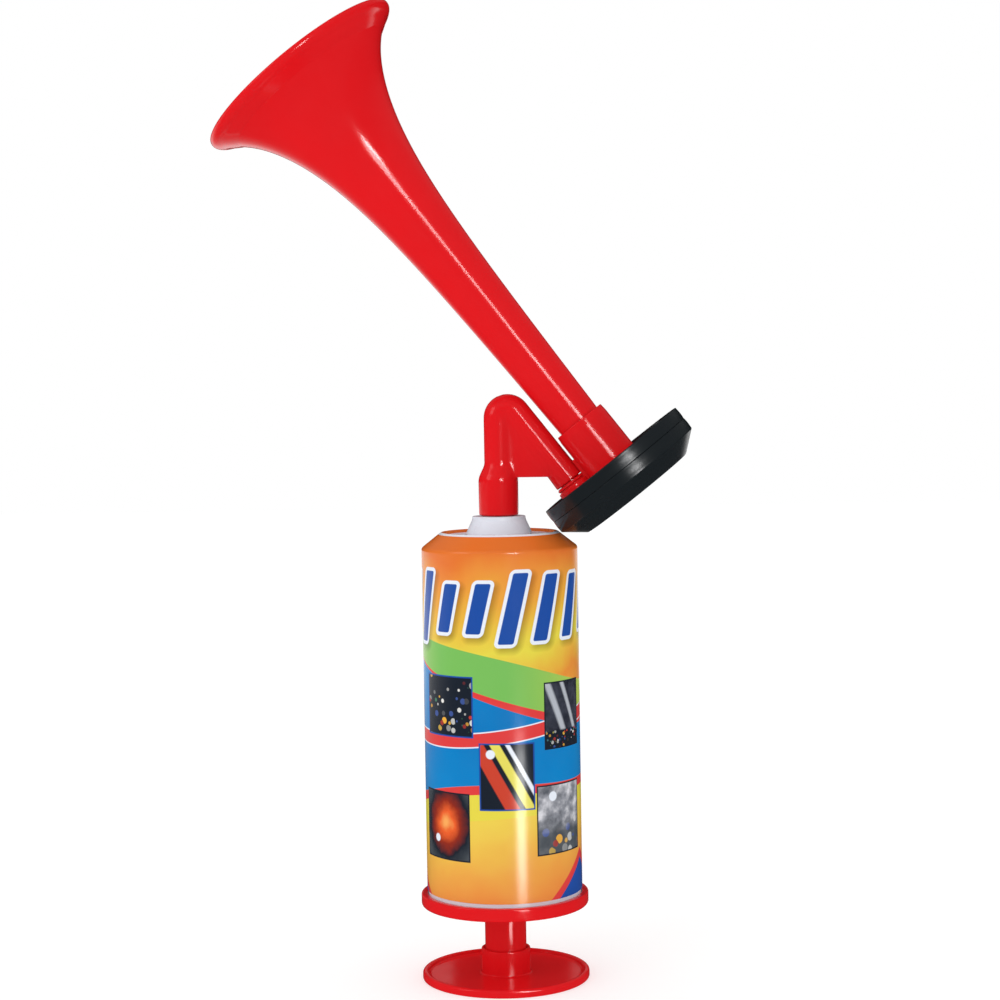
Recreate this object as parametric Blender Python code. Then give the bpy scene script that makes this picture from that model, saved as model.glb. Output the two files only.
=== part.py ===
"""Stadium air horn that is worked by hand: a pump barrel standing on its own handle, with a gooseneck
on top that feeds a diaphragm housing, and a flared bell that rises from the housing.

Metres, +Z up. The origin is the centre of the handle's flat underside, on the pump's axis. The bell
leans towards -X and the black diaphragm cap lies on the +X side.
"""

import math

import bmesh
import bpy
from mathutils import Matrix, Vector

# Gaps between separate pieces
FIT_GAP = 0.00020
SEAT_GAP = 0.00025
RUN_GAP = 0.00030
SKIN_GAP = 0.00010

# Rounded edges, from crisp to soft
CRISP = 0.0003
EASED = 0.0004
BROKEN = 0.0005
SOFT = 0.0006
ROUND = 0.0009
FULL = 0.0012

# Handle: a shallow round dish with a hub
HANDLE_RADIUS = 0.0280
HANDLE_FLOOR = 0.0016
HANDLE_RIM_HEIGHT = 0.0027
HANDLE_RIM_WIDTH = 0.0019
HANDLE_RIM_DRAFT = 0.0004
HUB_RADIUS = 0.0082
HUB_HEIGHT = 0.0100

# Pump rod, a tube that is closed at its top
ROD_RADIUS = 0.00693
ROD_WALL = 0.0016
ROD_NECK_RADIUS = 0.0050
ROD_HEAD_RADIUS = 0.0063
ROD_HEAD_HEIGHT = 0.0016
ROD_HEAD_LAND = 0.0006
ROD_END_THICKNESS = 0.0035

# Free height between the handle's hub and the bottom cap
GRIP_GAP = 0.0148
STOP_GAP = 0.0005

# Bottom cap
BASE_RADIUS = 0.0280
BASE_FLOOR = 0.0022
BASE_RIM_HEIGHT = 0.0044
BASE_PLUG_HEIGHT = 0.0070
BASE_PLUG_WALL = 0.0018
GUIDE_HEIGHT = 0.0110
GUIDE_WALL = 0.0020
AIR_HOLES = 6
AIR_HOLE_RADIUS = 0.0015
AIR_HOLE_CIRCLE = 0.0155

# Barrel and the printed sleeve shrunk round it
CAN_RADIUS = 0.0260
SLEEVE_THICKNESS = 0.0003
SLEEVE_LIFT = 0.0012
BARREL_WALL = 0.0016
BARREL_SIDE = 0.11755
SHOULDER_HEIGHT = 0.0048
SHOULDER_FILLET = 0.0014
CROWN_RADIUS = 0.0199
CROWN_RING_WIDTH = 0.0013
CROWN_RING_HEIGHT = 0.0010
CROWN_THICKNESS = 0.0018

# White neck socket that is snapped into the crown
NECK_BASE_RADIUS = 0.0109
NECK_TOP_RADIUS = 0.0089
NECK_HEIGHT = 0.00595
NECK_LIP = 0.0010
NECK_FOOT = 0.0005
NECK_PLUG_RADIUS = 0.0078
NECK_BARB = 0.0006
NECK_PLUG_TAIL = 0.0014
NECK_PLUG_DRAFT = 0.0004
NECK_PORT_RADIUS = 0.0036

# Piston and its floating ring
RING_SECTION = 0.0030
RING_FLOAT = 0.0012
PISTON_CLEARANCE = 0.0006
PISTON_FLANGE = 0.0038
PISTON_AIR_GAP = 0.0006
PISTON_GROOVE_WALL = 0.0019
PISTON_FLOOR = 0.0030
PISTON_HUB_RADIUS = 0.0090
PISTON_HUB_HEIGHT = 0.0087
NOTCHES = 4
NOTCH_WIDTH = 0.0060
NOTCH_DEPTH = 0.0022

# Gooseneck: a stem, a tight bend and a leg that runs beside the horn
SPIGOT_RADIUS = 0.0052
SPIGOT_LENGTH = 0.0072
SPIGOT_GROOVE = 0.0009
SPIGOT_GROOVE_DROP = 0.0032
STEM_RADIUS = 0.0066
STEM_HEIGHT = 0.0128
STEM_TAPER = 0.0043
PIPE_RADIUS = 0.00495
PIPE_BORE_RADIUS = 0.0032
BEND_RADIUS = 0.0030
ELBOW_RISE = 0.0412
ELBOW_SHIFT = 0.0004
LEG_LENGTH = 0.0379
LEG_END_RADIUS = 0.0052
LEG_FLARE = 0.0060
LEG_STANDOFF = 0.003045
WEB_THICKNESS = 0.0068
WEB_LIFT = 0.0128
WEB_INSET = 0.0007
CREASE_STEP = 0.0010

# Horn axis: how far it leans from upright, and how far it lies from the gooseneck's leg
TILT = math.radians(38.0)
LEG_OFFSET = 0.01484

# Diaphragm housing, measured from the black front ring's face along the horn axis
COLLAR_RADIUS = 0.0093
COLLAR_HEIGHT = 0.0165
TAIL_DEPTH = 0.0100
PLATE_THICKNESS = 0.0018
HOUSING_RADIUS = 0.0242
HOUSING_WALL = 0.0020
CHAMBER_DEPTH = 0.0025
NOZZLE_BORE_RADIUS = 0.0050
NOZZLE_WALL = 0.0016
INLET_RADIUS = 0.0050
INLET_FLANGE_RADIUS = 0.0058
INLET_FLANGE_TOP = 0.0011
INLET_BORE_RADIUS = 0.0024
INLET_SPIGOT_RADIUS = 0.0037
INLET_SPIGOT_LENGTH = 0.0055
INLET_RIDGE = 0.0004
RIB_HEIGHT = 0.0077
RIB_THICKNESS = 0.0050
RIB_INSET = 0.0002
INLET_ROOT = 0.0005

# Black ring and cap that hold the diaphragm
RING_FACE = 0.0016
RING_LAP = 0.0032
RING_SKIRT = 0.0042
RING_WALL = 0.0016
SEAM_WIDTH = 0.0003
CAP_SIDE = 0.0041
CAP_CHAMFER = 0.0055
CAP_CHAMFER_WIDTH = 0.0069
CAP_BACK_THICKNESS = 0.0022
CAP_TONGUE = 0.0020
CAP_TONGUE_WALL = 0.0015
CAP_LEDGE = 0.0006
GASKET_THICKNESS = 0.0006
DIAPHRAGM_THICKNESS = 0.00025
CLAMP_THICKNESS = 0.0016
CLAMP_WIDTH = 0.0026

# Bell: a slow taper with two exponential flares, and a bead round the mouth
BELL_LENGTH = 0.1482
BELL_WALL = 0.0016
THROAT_RADIUS = 0.00750
BELL_TAPER = 0.0231
WIDE_FLARE = 0.02387
WIDE_FLARE_REACH = 0.02353
LIP_FLARE = 0.00556
LIP_FLARE_REACH = 0.00447
BEAD_START = 0.0034
BEAD_STEP = 0.0015
BEAD_REACH = 0.0002
BEAD_RADIUS = 0.03735
BEAD_WIDTH = 0.0019
BEAD_ROUND = 0.0008
BEAD_LIP = 0.00048
BEAD_SKIRT = 0.00238
BEAD_DRAFT = 0.00032

# Facets. Stations on the bell crowd towards the mouth, where its curve is tight
WIDE_SEGMENTS = 36
SLIM_SEGMENTS = 24
HOLE_SEGMENTS = 12
RING_SIDES = 8
THIN_RING_SIDES = 6
ARC_STEPS = 2
BEND_STEPS = 8
BELL_STATIONS = 13
BELL_CROWDING = 1.9
SHARP_ANGLE = math.radians(35.0)
MERGE_DISTANCE = 1e-6

# A fillet takes at most this share of an edge, and a cutter is this many times its wall's thickness
FILLET_SHARE = 0.49
CUTTER_SPAN = 4.0
GUIDE_SIZE = 0.02

# Looks: colour and roughness
RED = ((0.767, 0.014, 0.018), 0.25)
BLACK = ((0.010, 0.013, 0.015), 0.20)
WHITE = ((0.694, 0.730, 0.828), 0.30)
PRINT = ((0.827, 0.214, 0.025), 0.30)
FILM = ((0.620, 0.640, 0.660), 0.15)
RUBBER = ((0.012, 0.012, 0.012), 0.60)

# Plain heights on the pump's axis that several pieces share
base_z = HUB_HEIGHT + GRIP_GAP
base_floor_z = base_z + BASE_FLOOR
barrel_z = base_floor_z + SEAT_GAP
shoulder_z = barrel_z + BARREL_SIDE
crown_edge_z = shoulder_z + SHOULDER_HEIGHT
crown_ring_z = crown_edge_z + SLEEVE_THICKNESS
crown_floor_z = crown_ring_z - CROWN_RING_HEIGHT
neck_base_z = crown_floor_z + SEAT_GAP
neck_top_z = neck_base_z + NECK_HEIGHT
sleeve_depth = SLEEVE_THICKNESS + SKIN_GAP
barrel_radius = CAN_RADIUS - sleeve_depth
bore_radius = barrel_radius - BARREL_WALL
guide_bore_radius = ROD_RADIUS + RUN_GAP

# Piston, placed so that the handle's hub meets the bottom cap first
push_travel = GRIP_GAP - STOP_GAP
ring_outer_radius = bore_radius - SKIN_GAP
ring_inner_radius = ring_outer_radius - RING_SECTION
groove_height = RING_SECTION + RING_FLOAT + 2 * SKIN_GAP
piston_height = 2 * PISTON_FLANGE + groove_height
piston_top_z = shoulder_z - BARREL_WALL - STOP_GAP - push_travel
piston_z = piston_top_z - piston_height
piston_bore_radius = ROD_NECK_RADIUS + RUN_GAP

# Directions of the leg and the horn, in the XZ plane
along_leg = Vector((math.sin(TILT), 0.0, -math.cos(TILT)))
away_from_can = Vector((math.cos(TILT), 0.0, math.sin(TILT)))
elbow = Vector((ELBOW_SHIFT, 0.0, ELBOW_RISE))
horn_origin = elbow + (LEG_LENGTH + LEG_STANDOFF) * along_leg + LEG_OFFSET * away_from_can

# The ring's skirt goes round the cap's tongue, and that round the housing
tongue_inside = HOUSING_RADIUS + FIT_GAP
tongue_outside = tongue_inside + CAP_TONGUE_WALL
skirt_inside = tongue_outside + FIT_GAP
ring_radius = skirt_inside + RING_WALL
window_radius = HOUSING_RADIUS - RING_LAP
cap_back_radius = ring_radius - CAP_CHAMFER_WIDTH

# Depths in the housing, from the front face down to the back of the cap
plate_z = -(RING_FACE + SEAT_GAP)
plate_back_z = plate_z - PLATE_THICKNESS
wall_end_z = plate_back_z - CHAMBER_DEPTH
gasket_z = wall_end_z - SKIN_GAP
diaphragm_z = gasket_z - GASKET_THICKNESS - SKIN_GAP
nozzle_end_z = diaphragm_z + SKIN_GAP
clamp_z = diaphragm_z - DIAPHRAGM_THICKNESS - SKIN_GAP
clamp_back_z = clamp_z - CLAMP_THICKNESS
cap_seat_z = clamp_back_z - SKIN_GAP
cap_side_top_z = -(RING_SKIRT + SEAM_WIDTH)
cap_side_end_z = cap_side_top_z - CAP_SIDE
cap_back_z = cap_side_end_z - CAP_CHAMFER
tail_end_z = COLLAR_HEIGHT - TAIL_DEPTH
mouth_z = COLLAR_HEIGHT + BELL_LENGTH


def principled(name, colour, roughness):
    """A plain material for one sub-part."""
    made = bpy.data.materials.new(name)
    made.use_nodes = True
    shader = made.node_tree.nodes["Principled BSDF"]
    shader.inputs["Base Color"].default_value = (*colour, 1.0)
    shader.inputs["Roughness"].default_value = roughness
    made.diffuse_color = (*colour, 1.0)
    return made


def empty(name, location, parent=None, tilt=0.0):
    """A guide that carries a group of pieces, turned by tilt about Y."""
    guide = bpy.data.objects.new(name, None)
    bpy.context.collection.objects.link(guide)
    guide.empty_display_size = GUIDE_SIZE
    guide.parent = parent
    guide.location = location
    guide.rotation_euler = (0.0, -tilt, 0.0)
    return guide


def solid(name, bm, look, location=(0.0, 0.0, 0.0), parent=None):
    """Turn a bmesh into a smooth-shaded object with its own material."""
    bmesh.ops.recalc_face_normals(bm, faces=bm.faces)
    if bm.calc_volume(signed=True) < 0.0:
        bmesh.ops.reverse_faces(bm, faces=bm.faces)
    mesh = bpy.data.meshes.new(name)
    bm.to_mesh(mesh)
    bm.free()
    mesh.shade_smooth()
    mesh.set_sharp_from_angle(angle=SHARP_ANGLE)
    body = bpy.data.objects.new(name, mesh)
    bpy.context.collection.objects.link(body)
    body.parent = parent
    body.location = location
    if look is not None:
        mesh.materials.append(principled(name, *look))
    return body


def helper(body):
    """Mark an object as a tool of a Boolean, not a piece."""
    body.hide_render = True
    body.display_type = "WIRE"
    return body


def combine(body, tool, operation):
    """Join a tool to a body or cut it away."""
    change = body.modifiers.new(tool.name, "BOOLEAN")
    change.operation = operation
    change.object = helper(tool)


def rounded(corners):
    """An outline from corners given as (radius, height) or (radius, height, fillet)."""
    points = []
    count = len(corners)
    for index, corner in enumerate(corners):
        here = Vector(corner[:2])
        if len(corner) == 2:
            points.append(tuple(here))
            continue
        back = Vector(corners[index - 1][:2]) - here
        ahead = Vector(corners[(index + 1) % count][:2]) - here
        half = back.angle(ahead) / 2.0
        reach = min(corner[2] / math.tan(half), FILLET_SHARE * back.length, FILLET_SHARE * ahead.length)
        fillet = reach * math.tan(half)
        centre = here + (back.normalized() + ahead.normalized()).normalized() * (fillet / math.sin(half))
        start = here + back.normalized() * reach - centre
        end = here + ahead.normalized() * reach - centre
        for step in range(ARC_STEPS + 1):
            part = step / ARC_STEPS
            spoke = start.normalized().slerp(end.normalized(), part) * fillet
            points.append(tuple(centre + spoke))
    return points


def shifted(line, distance):
    """The line moved sideways by distance, to the right of its direction of travel."""
    moved = []
    for index, point in enumerate(line):
        here = Vector(point)
        before = Vector(line[max(index - 1, 0)])
        after = Vector(line[min(index + 1, len(line) - 1)])
        first = (here - before).normalized() if index > 0 else (after - here).normalized()
        second = (after - here).normalized() if index < len(line) - 1 else first
        normal = Vector((first.y + second.y, -first.x - second.x)).normalized()
        stretch = normal.dot(Vector((first.y, -first.x)))
        moved.append(tuple(here + normal * (distance / stretch)))
    return moved


def turned_mesh(outline, segments):
    """A bmesh turned about Z. An outline that ends on the axis is open there, any other is a loop."""
    bm = bmesh.new()
    ring = [bm.verts.new((radius, 0.0, height)) for radius, height in outline]
    edges = [bm.edges.new(pair) for pair in zip(ring, ring[1:])]
    if outline[0][0] > 0.0:
        edges.append(bm.edges.new((ring[-1], ring[0])))
    bmesh.ops.spin(
        bm, geom=ring + edges, cent=(0.0, 0.0, 0.0), axis=(0.0, 0.0, 1.0), angle=2.0 * math.pi,
        steps=segments, use_merge=True,
    )
    bmesh.ops.remove_doubles(bm, verts=bm.verts, dist=MERGE_DISTANCE)
    return bm


def turned(name, outline, look, segments=WIDE_SEGMENTS, location=(0.0, 0.0, 0.0), parent=None):
    """A piece turned about its own Z axis."""
    return solid(name, turned_mesh(outline, segments), look, location, parent)


def o_ring(name, centre_radius, section, sides, segments, location, parent=None):
    """A rubber ring of round section."""
    outline = []
    for side in range(sides):
        angle = 2.0 * math.pi * (side + 0.5) / sides
        reach = section / 2.0
        outline.append((centre_radius + reach * math.cos(angle), reach * math.sin(angle)))
    return turned(name, outline, RUBBER, segments, location, parent)


def plate(name, outline, thickness, parent=None):
    """A flat plate with an outline in XZ, centred on Y."""
    bm = bmesh.new()
    corners = [bm.verts.new((x, -thickness / 2.0, z)) for x, z in outline]
    face = bm.faces.new(corners)
    grown = bmesh.ops.extrude_face_region(bm, geom=[face])
    moved = [item for item in grown["geom"] if isinstance(item, bmesh.types.BMVert)]
    bmesh.ops.translate(bm, verts=moved, vec=(0.0, thickness, 0.0))
    return solid(name, bm, None, parent=parent)


def handle():
    """Round dish with a rounded rim, and a hub that takes the rod's end."""
    rim_inside = HANDLE_RADIUS - HANDLE_RIM_WIDTH
    socket = ROD_RADIUS + FIT_GAP
    outline = rounded([
        (0.0, 0.0),
        (HANDLE_RADIUS, 0.0, SOFT),
        (HANDLE_RADIUS, HANDLE_RIM_HEIGHT, ROUND),
        (rim_inside, HANDLE_RIM_HEIGHT, ROUND),
        (rim_inside - HANDLE_RIM_DRAFT, HANDLE_FLOOR, ROUND),
        (HUB_RADIUS, HANDLE_FLOOR, SOFT),
        (HUB_RADIUS, HUB_HEIGHT, EASED),
        (socket, HUB_HEIGHT),
        (socket, HANDLE_FLOOR),
        (0.0, HANDLE_FLOOR),
    ])
    return turned("pump_handle", outline, RED)


def rod():
    """Tube from the handle's hub to the piston, with a closed end and a snap head."""
    foot = HANDLE_FLOOR + SEAT_GAP
    shoulder = piston_z - SEAT_GAP
    head = piston_z + PISTON_HUB_HEIGHT + SEAT_GAP
    outline = [
        (0.0, shoulder - ROD_END_THICKNESS - foot),
        (ROD_RADIUS - ROD_WALL, shoulder - ROD_END_THICKNESS - foot),
        (ROD_RADIUS - ROD_WALL, 0.0),
        (ROD_RADIUS, 0.0),
        (ROD_RADIUS, shoulder - foot),
        (ROD_NECK_RADIUS, shoulder - foot),
        (ROD_NECK_RADIUS, head - foot),
        (ROD_HEAD_RADIUS, head - foot),
        (ROD_HEAD_RADIUS, head - foot + ROD_HEAD_LAND),
        (ROD_NECK_RADIUS, head - foot + ROD_HEAD_HEIGHT),
        (0.0, head - foot + ROD_HEAD_HEIGHT),
    ]
    return turned("pump_rod", outline, RED, SLIM_SEGMENTS, (0.0, 0.0, foot))


def bottom_cap():
    """Cap that closes the barrel, guides the rod and lets air in through a ring of holes."""
    rim_inside = barrel_radius + FIT_GAP
    plug = bore_radius - FIT_GAP
    outline = rounded([
        (guide_bore_radius, 0.0),
        (BASE_RADIUS, 0.0, FULL),
        (BASE_RADIUS, BASE_RIM_HEIGHT, SOFT),
        (rim_inside, BASE_RIM_HEIGHT, CRISP),
        (rim_inside, BASE_FLOOR),
        (plug, BASE_FLOOR),
        (plug, BASE_FLOOR + BASE_PLUG_HEIGHT, SOFT),
        (plug - BASE_PLUG_WALL, BASE_FLOOR + BASE_PLUG_HEIGHT),
        (plug - BASE_PLUG_WALL, BASE_FLOOR),
        (guide_bore_radius + GUIDE_WALL, BASE_FLOOR),
        (guide_bore_radius + GUIDE_WALL, BASE_FLOOR + GUIDE_HEIGHT),
        (guide_bore_radius, BASE_FLOOR + GUIDE_HEIGHT),
    ])
    cap = turned("bottom_cap", outline, RED, location=(0.0, 0.0, base_z))
    holes = bmesh.new()
    for index in range(AIR_HOLES):
        angle = 2.0 * math.pi * (index + 0.5) / AIR_HOLES
        made = bmesh.ops.create_cone(
            holes, cap_ends=True, segments=HOLE_SEGMENTS, radius1=AIR_HOLE_RADIUS,
            radius2=AIR_HOLE_RADIUS, depth=CUTTER_SPAN * BASE_FLOOR,
        )
        place = (AIR_HOLE_CIRCLE * math.cos(angle), AIR_HOLE_CIRCLE * math.sin(angle), BASE_FLOOR / 2.0)
        bmesh.ops.translate(holes, verts=made["verts"], vec=place)
    combine(cap, solid("air_hole_cutter", holes, None, (0.0, 0.0, base_z)), "DIFFERENCE")
    return cap


def can_surface():
    """The printed surface's outline, from the sleeve's lower end up the side and over the shoulder."""
    foot = base_z + BASE_RIM_HEIGHT + SLEEVE_LIFT
    return rounded([
        (CAN_RADIUS, foot),
        (CAN_RADIUS, shoulder_z, SHOULDER_FILLET),
        (CROWN_RADIUS, crown_edge_z),
    ])


def label_sleeve():
    """Thin printed sleeve over the barrel's side and shoulder."""
    outside = can_surface()
    inside = shifted(outside, -SLEEVE_THICKNESS)
    return turned("label_sleeve", outside + inside[::-1], PRINT)


def barrel():
    """White pump barrel with a conical shoulder and a crown that takes the neck."""
    outside = shifted(can_surface(), -sleeve_depth)[1:]
    inside = shifted(can_surface(), -(sleeve_depth + BARREL_WALL))[1:]
    ring_outside = outside[-1][0]
    ring_inside = ring_outside - CROWN_RING_WIDTH
    hole = NECK_PLUG_RADIUS + FIT_GAP
    ceiling = crown_floor_z - CROWN_THICKNESS
    crown = rounded([
        (ring_outside, crown_ring_z, BROKEN),
        (ring_inside, crown_ring_z, BROKEN),
        (ring_inside, crown_floor_z),
        (hole, crown_floor_z),
        (hole, ceiling),
        (inside[-1][0] - CROWN_RING_WIDTH, ceiling),
    ])
    start = [(bore_radius, barrel_z), (barrel_radius, barrel_z)]
    inner = [point for point in inside if point[1] < ceiling - EASED]
    return turned("barrel", start + outside + crown + inner[::-1], WHITE)


def neck_socket():
    """White socket on the crown. Its bore takes the gooseneck's spigot, and barbs hold it below."""
    bore = SPIGOT_RADIUS + FIT_GAP
    bore_floor = NECK_HEIGHT - SPIGOT_LENGTH - SEAT_GAP
    under_crown = -(SEAT_GAP + CROWN_THICKNESS + SEAT_GAP)
    plug_end = under_crown - NECK_PLUG_TAIL
    outline = rounded([
        (bore, NECK_HEIGHT, CRISP),
        (bore, bore_floor),
        (NECK_PORT_RADIUS, bore_floor),
        (NECK_PORT_RADIUS, plug_end),
        (NECK_PLUG_RADIUS - NECK_PLUG_DRAFT, plug_end),
        (NECK_PLUG_RADIUS + NECK_BARB, under_crown - NECK_BARB / 2.0),
        (NECK_PLUG_RADIUS + NECK_BARB, under_crown),
        (NECK_PLUG_RADIUS, under_crown),
        (NECK_PLUG_RADIUS, 0.0),
        (NECK_BASE_RADIUS, 0.0),
        (NECK_BASE_RADIUS, NECK_FOOT),
        (NECK_TOP_RADIUS, NECK_HEIGHT - NECK_LIP, FULL),
        (NECK_TOP_RADIUS, NECK_HEIGHT, EASED),
    ])
    return turned("neck_socket", outline, WHITE, SLIM_SEGMENTS, (0.0, 0.0, neck_base_z))


def piston_head():
    """Piston with a wide groove. Notches in its upper flange let air past the ring on the pull."""
    edge = bore_radius - PISTON_CLEARANCE
    groove = ring_inner_radius - PISTON_AIR_GAP
    inside = groove - PISTON_GROOVE_WALL
    groove_top = PISTON_FLANGE + groove_height
    outline = rounded([
        (piston_bore_radius, 0.0),
        (edge, 0.0, EASED),
        (edge, PISTON_FLANGE),
        (groove, PISTON_FLANGE),
        (groove, groove_top),
        (edge, groove_top),
        (edge, piston_height, EASED),
        (inside, piston_height),
        (inside, PISTON_FLOOR),
        (PISTON_HUB_RADIUS, PISTON_FLOOR),
        (PISTON_HUB_RADIUS, PISTON_HUB_HEIGHT),
        (piston_bore_radius, PISTON_HUB_HEIGHT),
    ])
    piston = turned("piston_head", outline, RED, location=(0.0, 0.0, piston_z))
    notches = bmesh.new()
    size = (2.0 * NOTCH_DEPTH, NOTCH_WIDTH, 2.0 * PISTON_FLANGE)
    place = (edge, 0.0, piston_height - SEAT_GAP)
    for index in range(NOTCHES):
        made = bmesh.ops.create_cube(notches, size=1.0)
        turn = Matrix.Rotation(2.0 * math.pi * (index + 0.5) / NOTCHES, 3, "Z")
        bmesh.ops.scale(notches, verts=made["verts"], vec=size)
        bmesh.ops.translate(notches, verts=made["verts"], vec=place)
        bmesh.ops.rotate(notches, verts=made["verts"], cent=(0.0, 0.0, 0.0), matrix=turn)
    combine(piston, solid("notch_cutter", notches, None, (0.0, 0.0, piston_z)), "DIFFERENCE")
    return piston


def piston_ring():
    """Rubber ring that rides loosely in the piston's groove and seals on the push."""
    middle = (ring_outer_radius + ring_inner_radius) / 2.0
    height = piston_z + PISTON_FLANGE + SKIN_GAP + RING_SECTION / 2.0
    place = (0.0, 0.0, height)
    return o_ring("piston_o_ring", middle, RING_SECTION, RING_SIDES, WIDE_SEGMENTS, place)


def bent_skin(bm, upright, slanted):
    """Rings of one skin of the gooseneck.

    upright lists (height, radius, shift towards the leg) and slanted lists (distance, radius). The
    bend turns about an axis that is closer than the pipe's radius, so lines on the inside of the
    bend meet in a mitre, and the others run round in arcs.
    """
    turn = math.pi - TILT
    tangent = BEND_RADIUS * math.tan(turn / 2.0)
    centre = elbow + Vector((BEND_RADIUS, 0.0, -tangent))
    angles = [2.0 * math.pi * index / SLIM_SEGMENTS for index in range(SLIM_SEGMENTS)]
    rings = []
    for height, radius, shift in upright:
        rings.append([Vector((radius * math.cos(a) + shift, radius * math.sin(a), height)) for a in angles])
    radius = upright[-1][1]
    for step in range(BEND_STEPS + 1):
        swing = turn * step / BEND_STEPS
        ring = []
        for a in angles:
            inward = radius * math.cos(a)
            reach = BEND_RADIUS - inward
            if reach > 0.0:
                spoke = Vector((-math.cos(swing), 0.0, math.sin(swing))) * reach
                place = centre + spoke
            else:
                place = elbow + Vector((inward, 0.0, -tangent * inward / BEND_RADIUS))
            ring.append(place + Vector((0.0, radius * math.sin(a), 0.0)))
        rings.append(ring)
    for distance, radius in slanted:
        middle = elbow + distance * along_leg
        ring = []
        for a in angles:
            sideways = -away_from_can * (radius * math.cos(a))
            ring.append(middle + sideways + Vector((0.0, radius * math.sin(a), 0.0)))
        rings.append(ring)
    return [[bm.verts.new(place) for place in ring] for ring in rings]


def join_rings(bm, first, second):
    """Faces between two rings of the same count."""
    count = len(first)
    for index in range(count):
        after = (index + 1) % count
        bm.faces.new((first[index], first[after], second[after], second[index]))


def gooseneck():
    """Hollow elbow with a spigot for the neck, a web between its legs and a socketed leg."""
    groove_low = -(SPIGOT_GROOVE_DROP + SPIGOT_GROOVE + FIT_GAP)
    groove_radius = SPIGOT_RADIUS - SPIGOT_GROOVE
    inner_crease = PIPE_RADIUS / math.tan(TILT / 2.0)
    top_height = STEM_HEIGHT + STEM_TAPER
    outer_upright = [
        (-SPIGOT_LENGTH, SPIGOT_RADIUS - EASED, 0.0),
        (-SPIGOT_LENGTH + BROKEN, SPIGOT_RADIUS, 0.0),
        (groove_low, SPIGOT_RADIUS, 0.0),
        (groove_low, groove_radius, 0.0),
        (-SPIGOT_GROOVE_DROP, groove_radius, 0.0),
        (-SPIGOT_GROOVE_DROP, SPIGOT_RADIUS, 0.0),
        (SEAT_GAP, SPIGOT_RADIUS, 0.0),
        (SEAT_GAP, STEM_RADIUS - CRISP, 0.0),
        (SEAT_GAP + CRISP, STEM_RADIUS, 0.0),
        (STEM_HEIGHT, STEM_RADIUS, 0.0),
        (top_height, PIPE_RADIUS, ELBOW_SHIFT),
    ]
    outer_slanted = [
        (inner_crease + CREASE_STEP, PIPE_RADIUS),
        (LEG_LENGTH - LEG_FLARE, PIPE_RADIUS),
        (LEG_LENGTH - CRISP, LEG_END_RADIUS),
        (LEG_LENGTH, LEG_END_RADIUS - CRISP),
    ]
    inner_upright = [
        (-SPIGOT_LENGTH, PIPE_BORE_RADIUS, 0.0),
        (STEM_HEIGHT, PIPE_BORE_RADIUS, 0.0),
        (top_height, PIPE_BORE_RADIUS, ELBOW_SHIFT),
    ]
    inner_slanted = [(LEG_LENGTH, PIPE_BORE_RADIUS)]
    bm = bmesh.new()
    outer = bent_skin(bm, outer_upright, outer_slanted)
    inner = bent_skin(bm, inner_upright, inner_slanted)
    for skin in (outer, inner):
        for first, second in zip(skin, skin[1:]):
            join_rings(bm, first, second)
    join_rings(bm, outer[0], inner[0])
    join_rings(bm, outer[-1], inner[-1])
    bmesh.ops.remove_doubles(bm, verts=bm.verts, dist=MERGE_DISTANCE)
    swivel = bpy.data.objects["swivel_axis"]
    pipe = solid("gooseneck", bm, RED, parent=swivel)

    # The web's edges lie inside the pipe's wall, between its bore and its skin
    sunk = (PIPE_RADIUS + PIPE_BORE_RADIUS) / 2.0 - WEB_INSET
    top = ELBOW_RISE - sunk / math.tan(TILT / 2.0)
    down = (ELBOW_RISE - WEB_LIFT - sunk * math.sin(TILT)) / math.cos(TILT)
    foot = elbow + down * along_leg - sunk * away_from_can
    side = ELBOW_SHIFT + sunk
    web = plate("web_shape", [(side, WEB_LIFT), (side, top), (foot.x, foot.z)], WEB_THICKNESS, swivel)
    combine(pipe, web, "UNION")

    # Socket in the leg's end for the housing's spigot
    socket = INLET_SPIGOT_RADIUS + FIT_GAP
    end, start = LEG_STANDOFF - SEAT_GAP, LEG_STANDOFF + INLET_SPIGOT_LENGTH + SEAT_GAP
    hole = [(0.0, end), (socket, end), (socket, start), (0.0, start)]
    beside = (-LEG_OFFSET, 0.0, 0.0)
    axis = bpy.data.objects["horn_axis"]
    combine(pipe, turned("socket_cutter", hole, None, SLIM_SEGMENTS, beside, axis), "DIFFERENCE")
    return pipe


def neck_ring():
    """Rubber ring in the spigot's groove."""
    section = SPIGOT_GROOVE + FIT_GAP - 2.0 * SKIN_GAP
    middle = SPIGOT_RADIUS - SPIGOT_GROOVE + SKIN_GAP + section / 2.0
    height = -(SPIGOT_GROOVE_DROP + (SPIGOT_GROOVE + FIT_GAP) / 2.0)
    place = (0.0, 0.0, height)
    swivel = bpy.data.objects["swivel_axis"]
    return o_ring("neck_o_ring", middle, section, THIN_RING_SIDES, SLIM_SEGMENTS, place, swivel)


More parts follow.
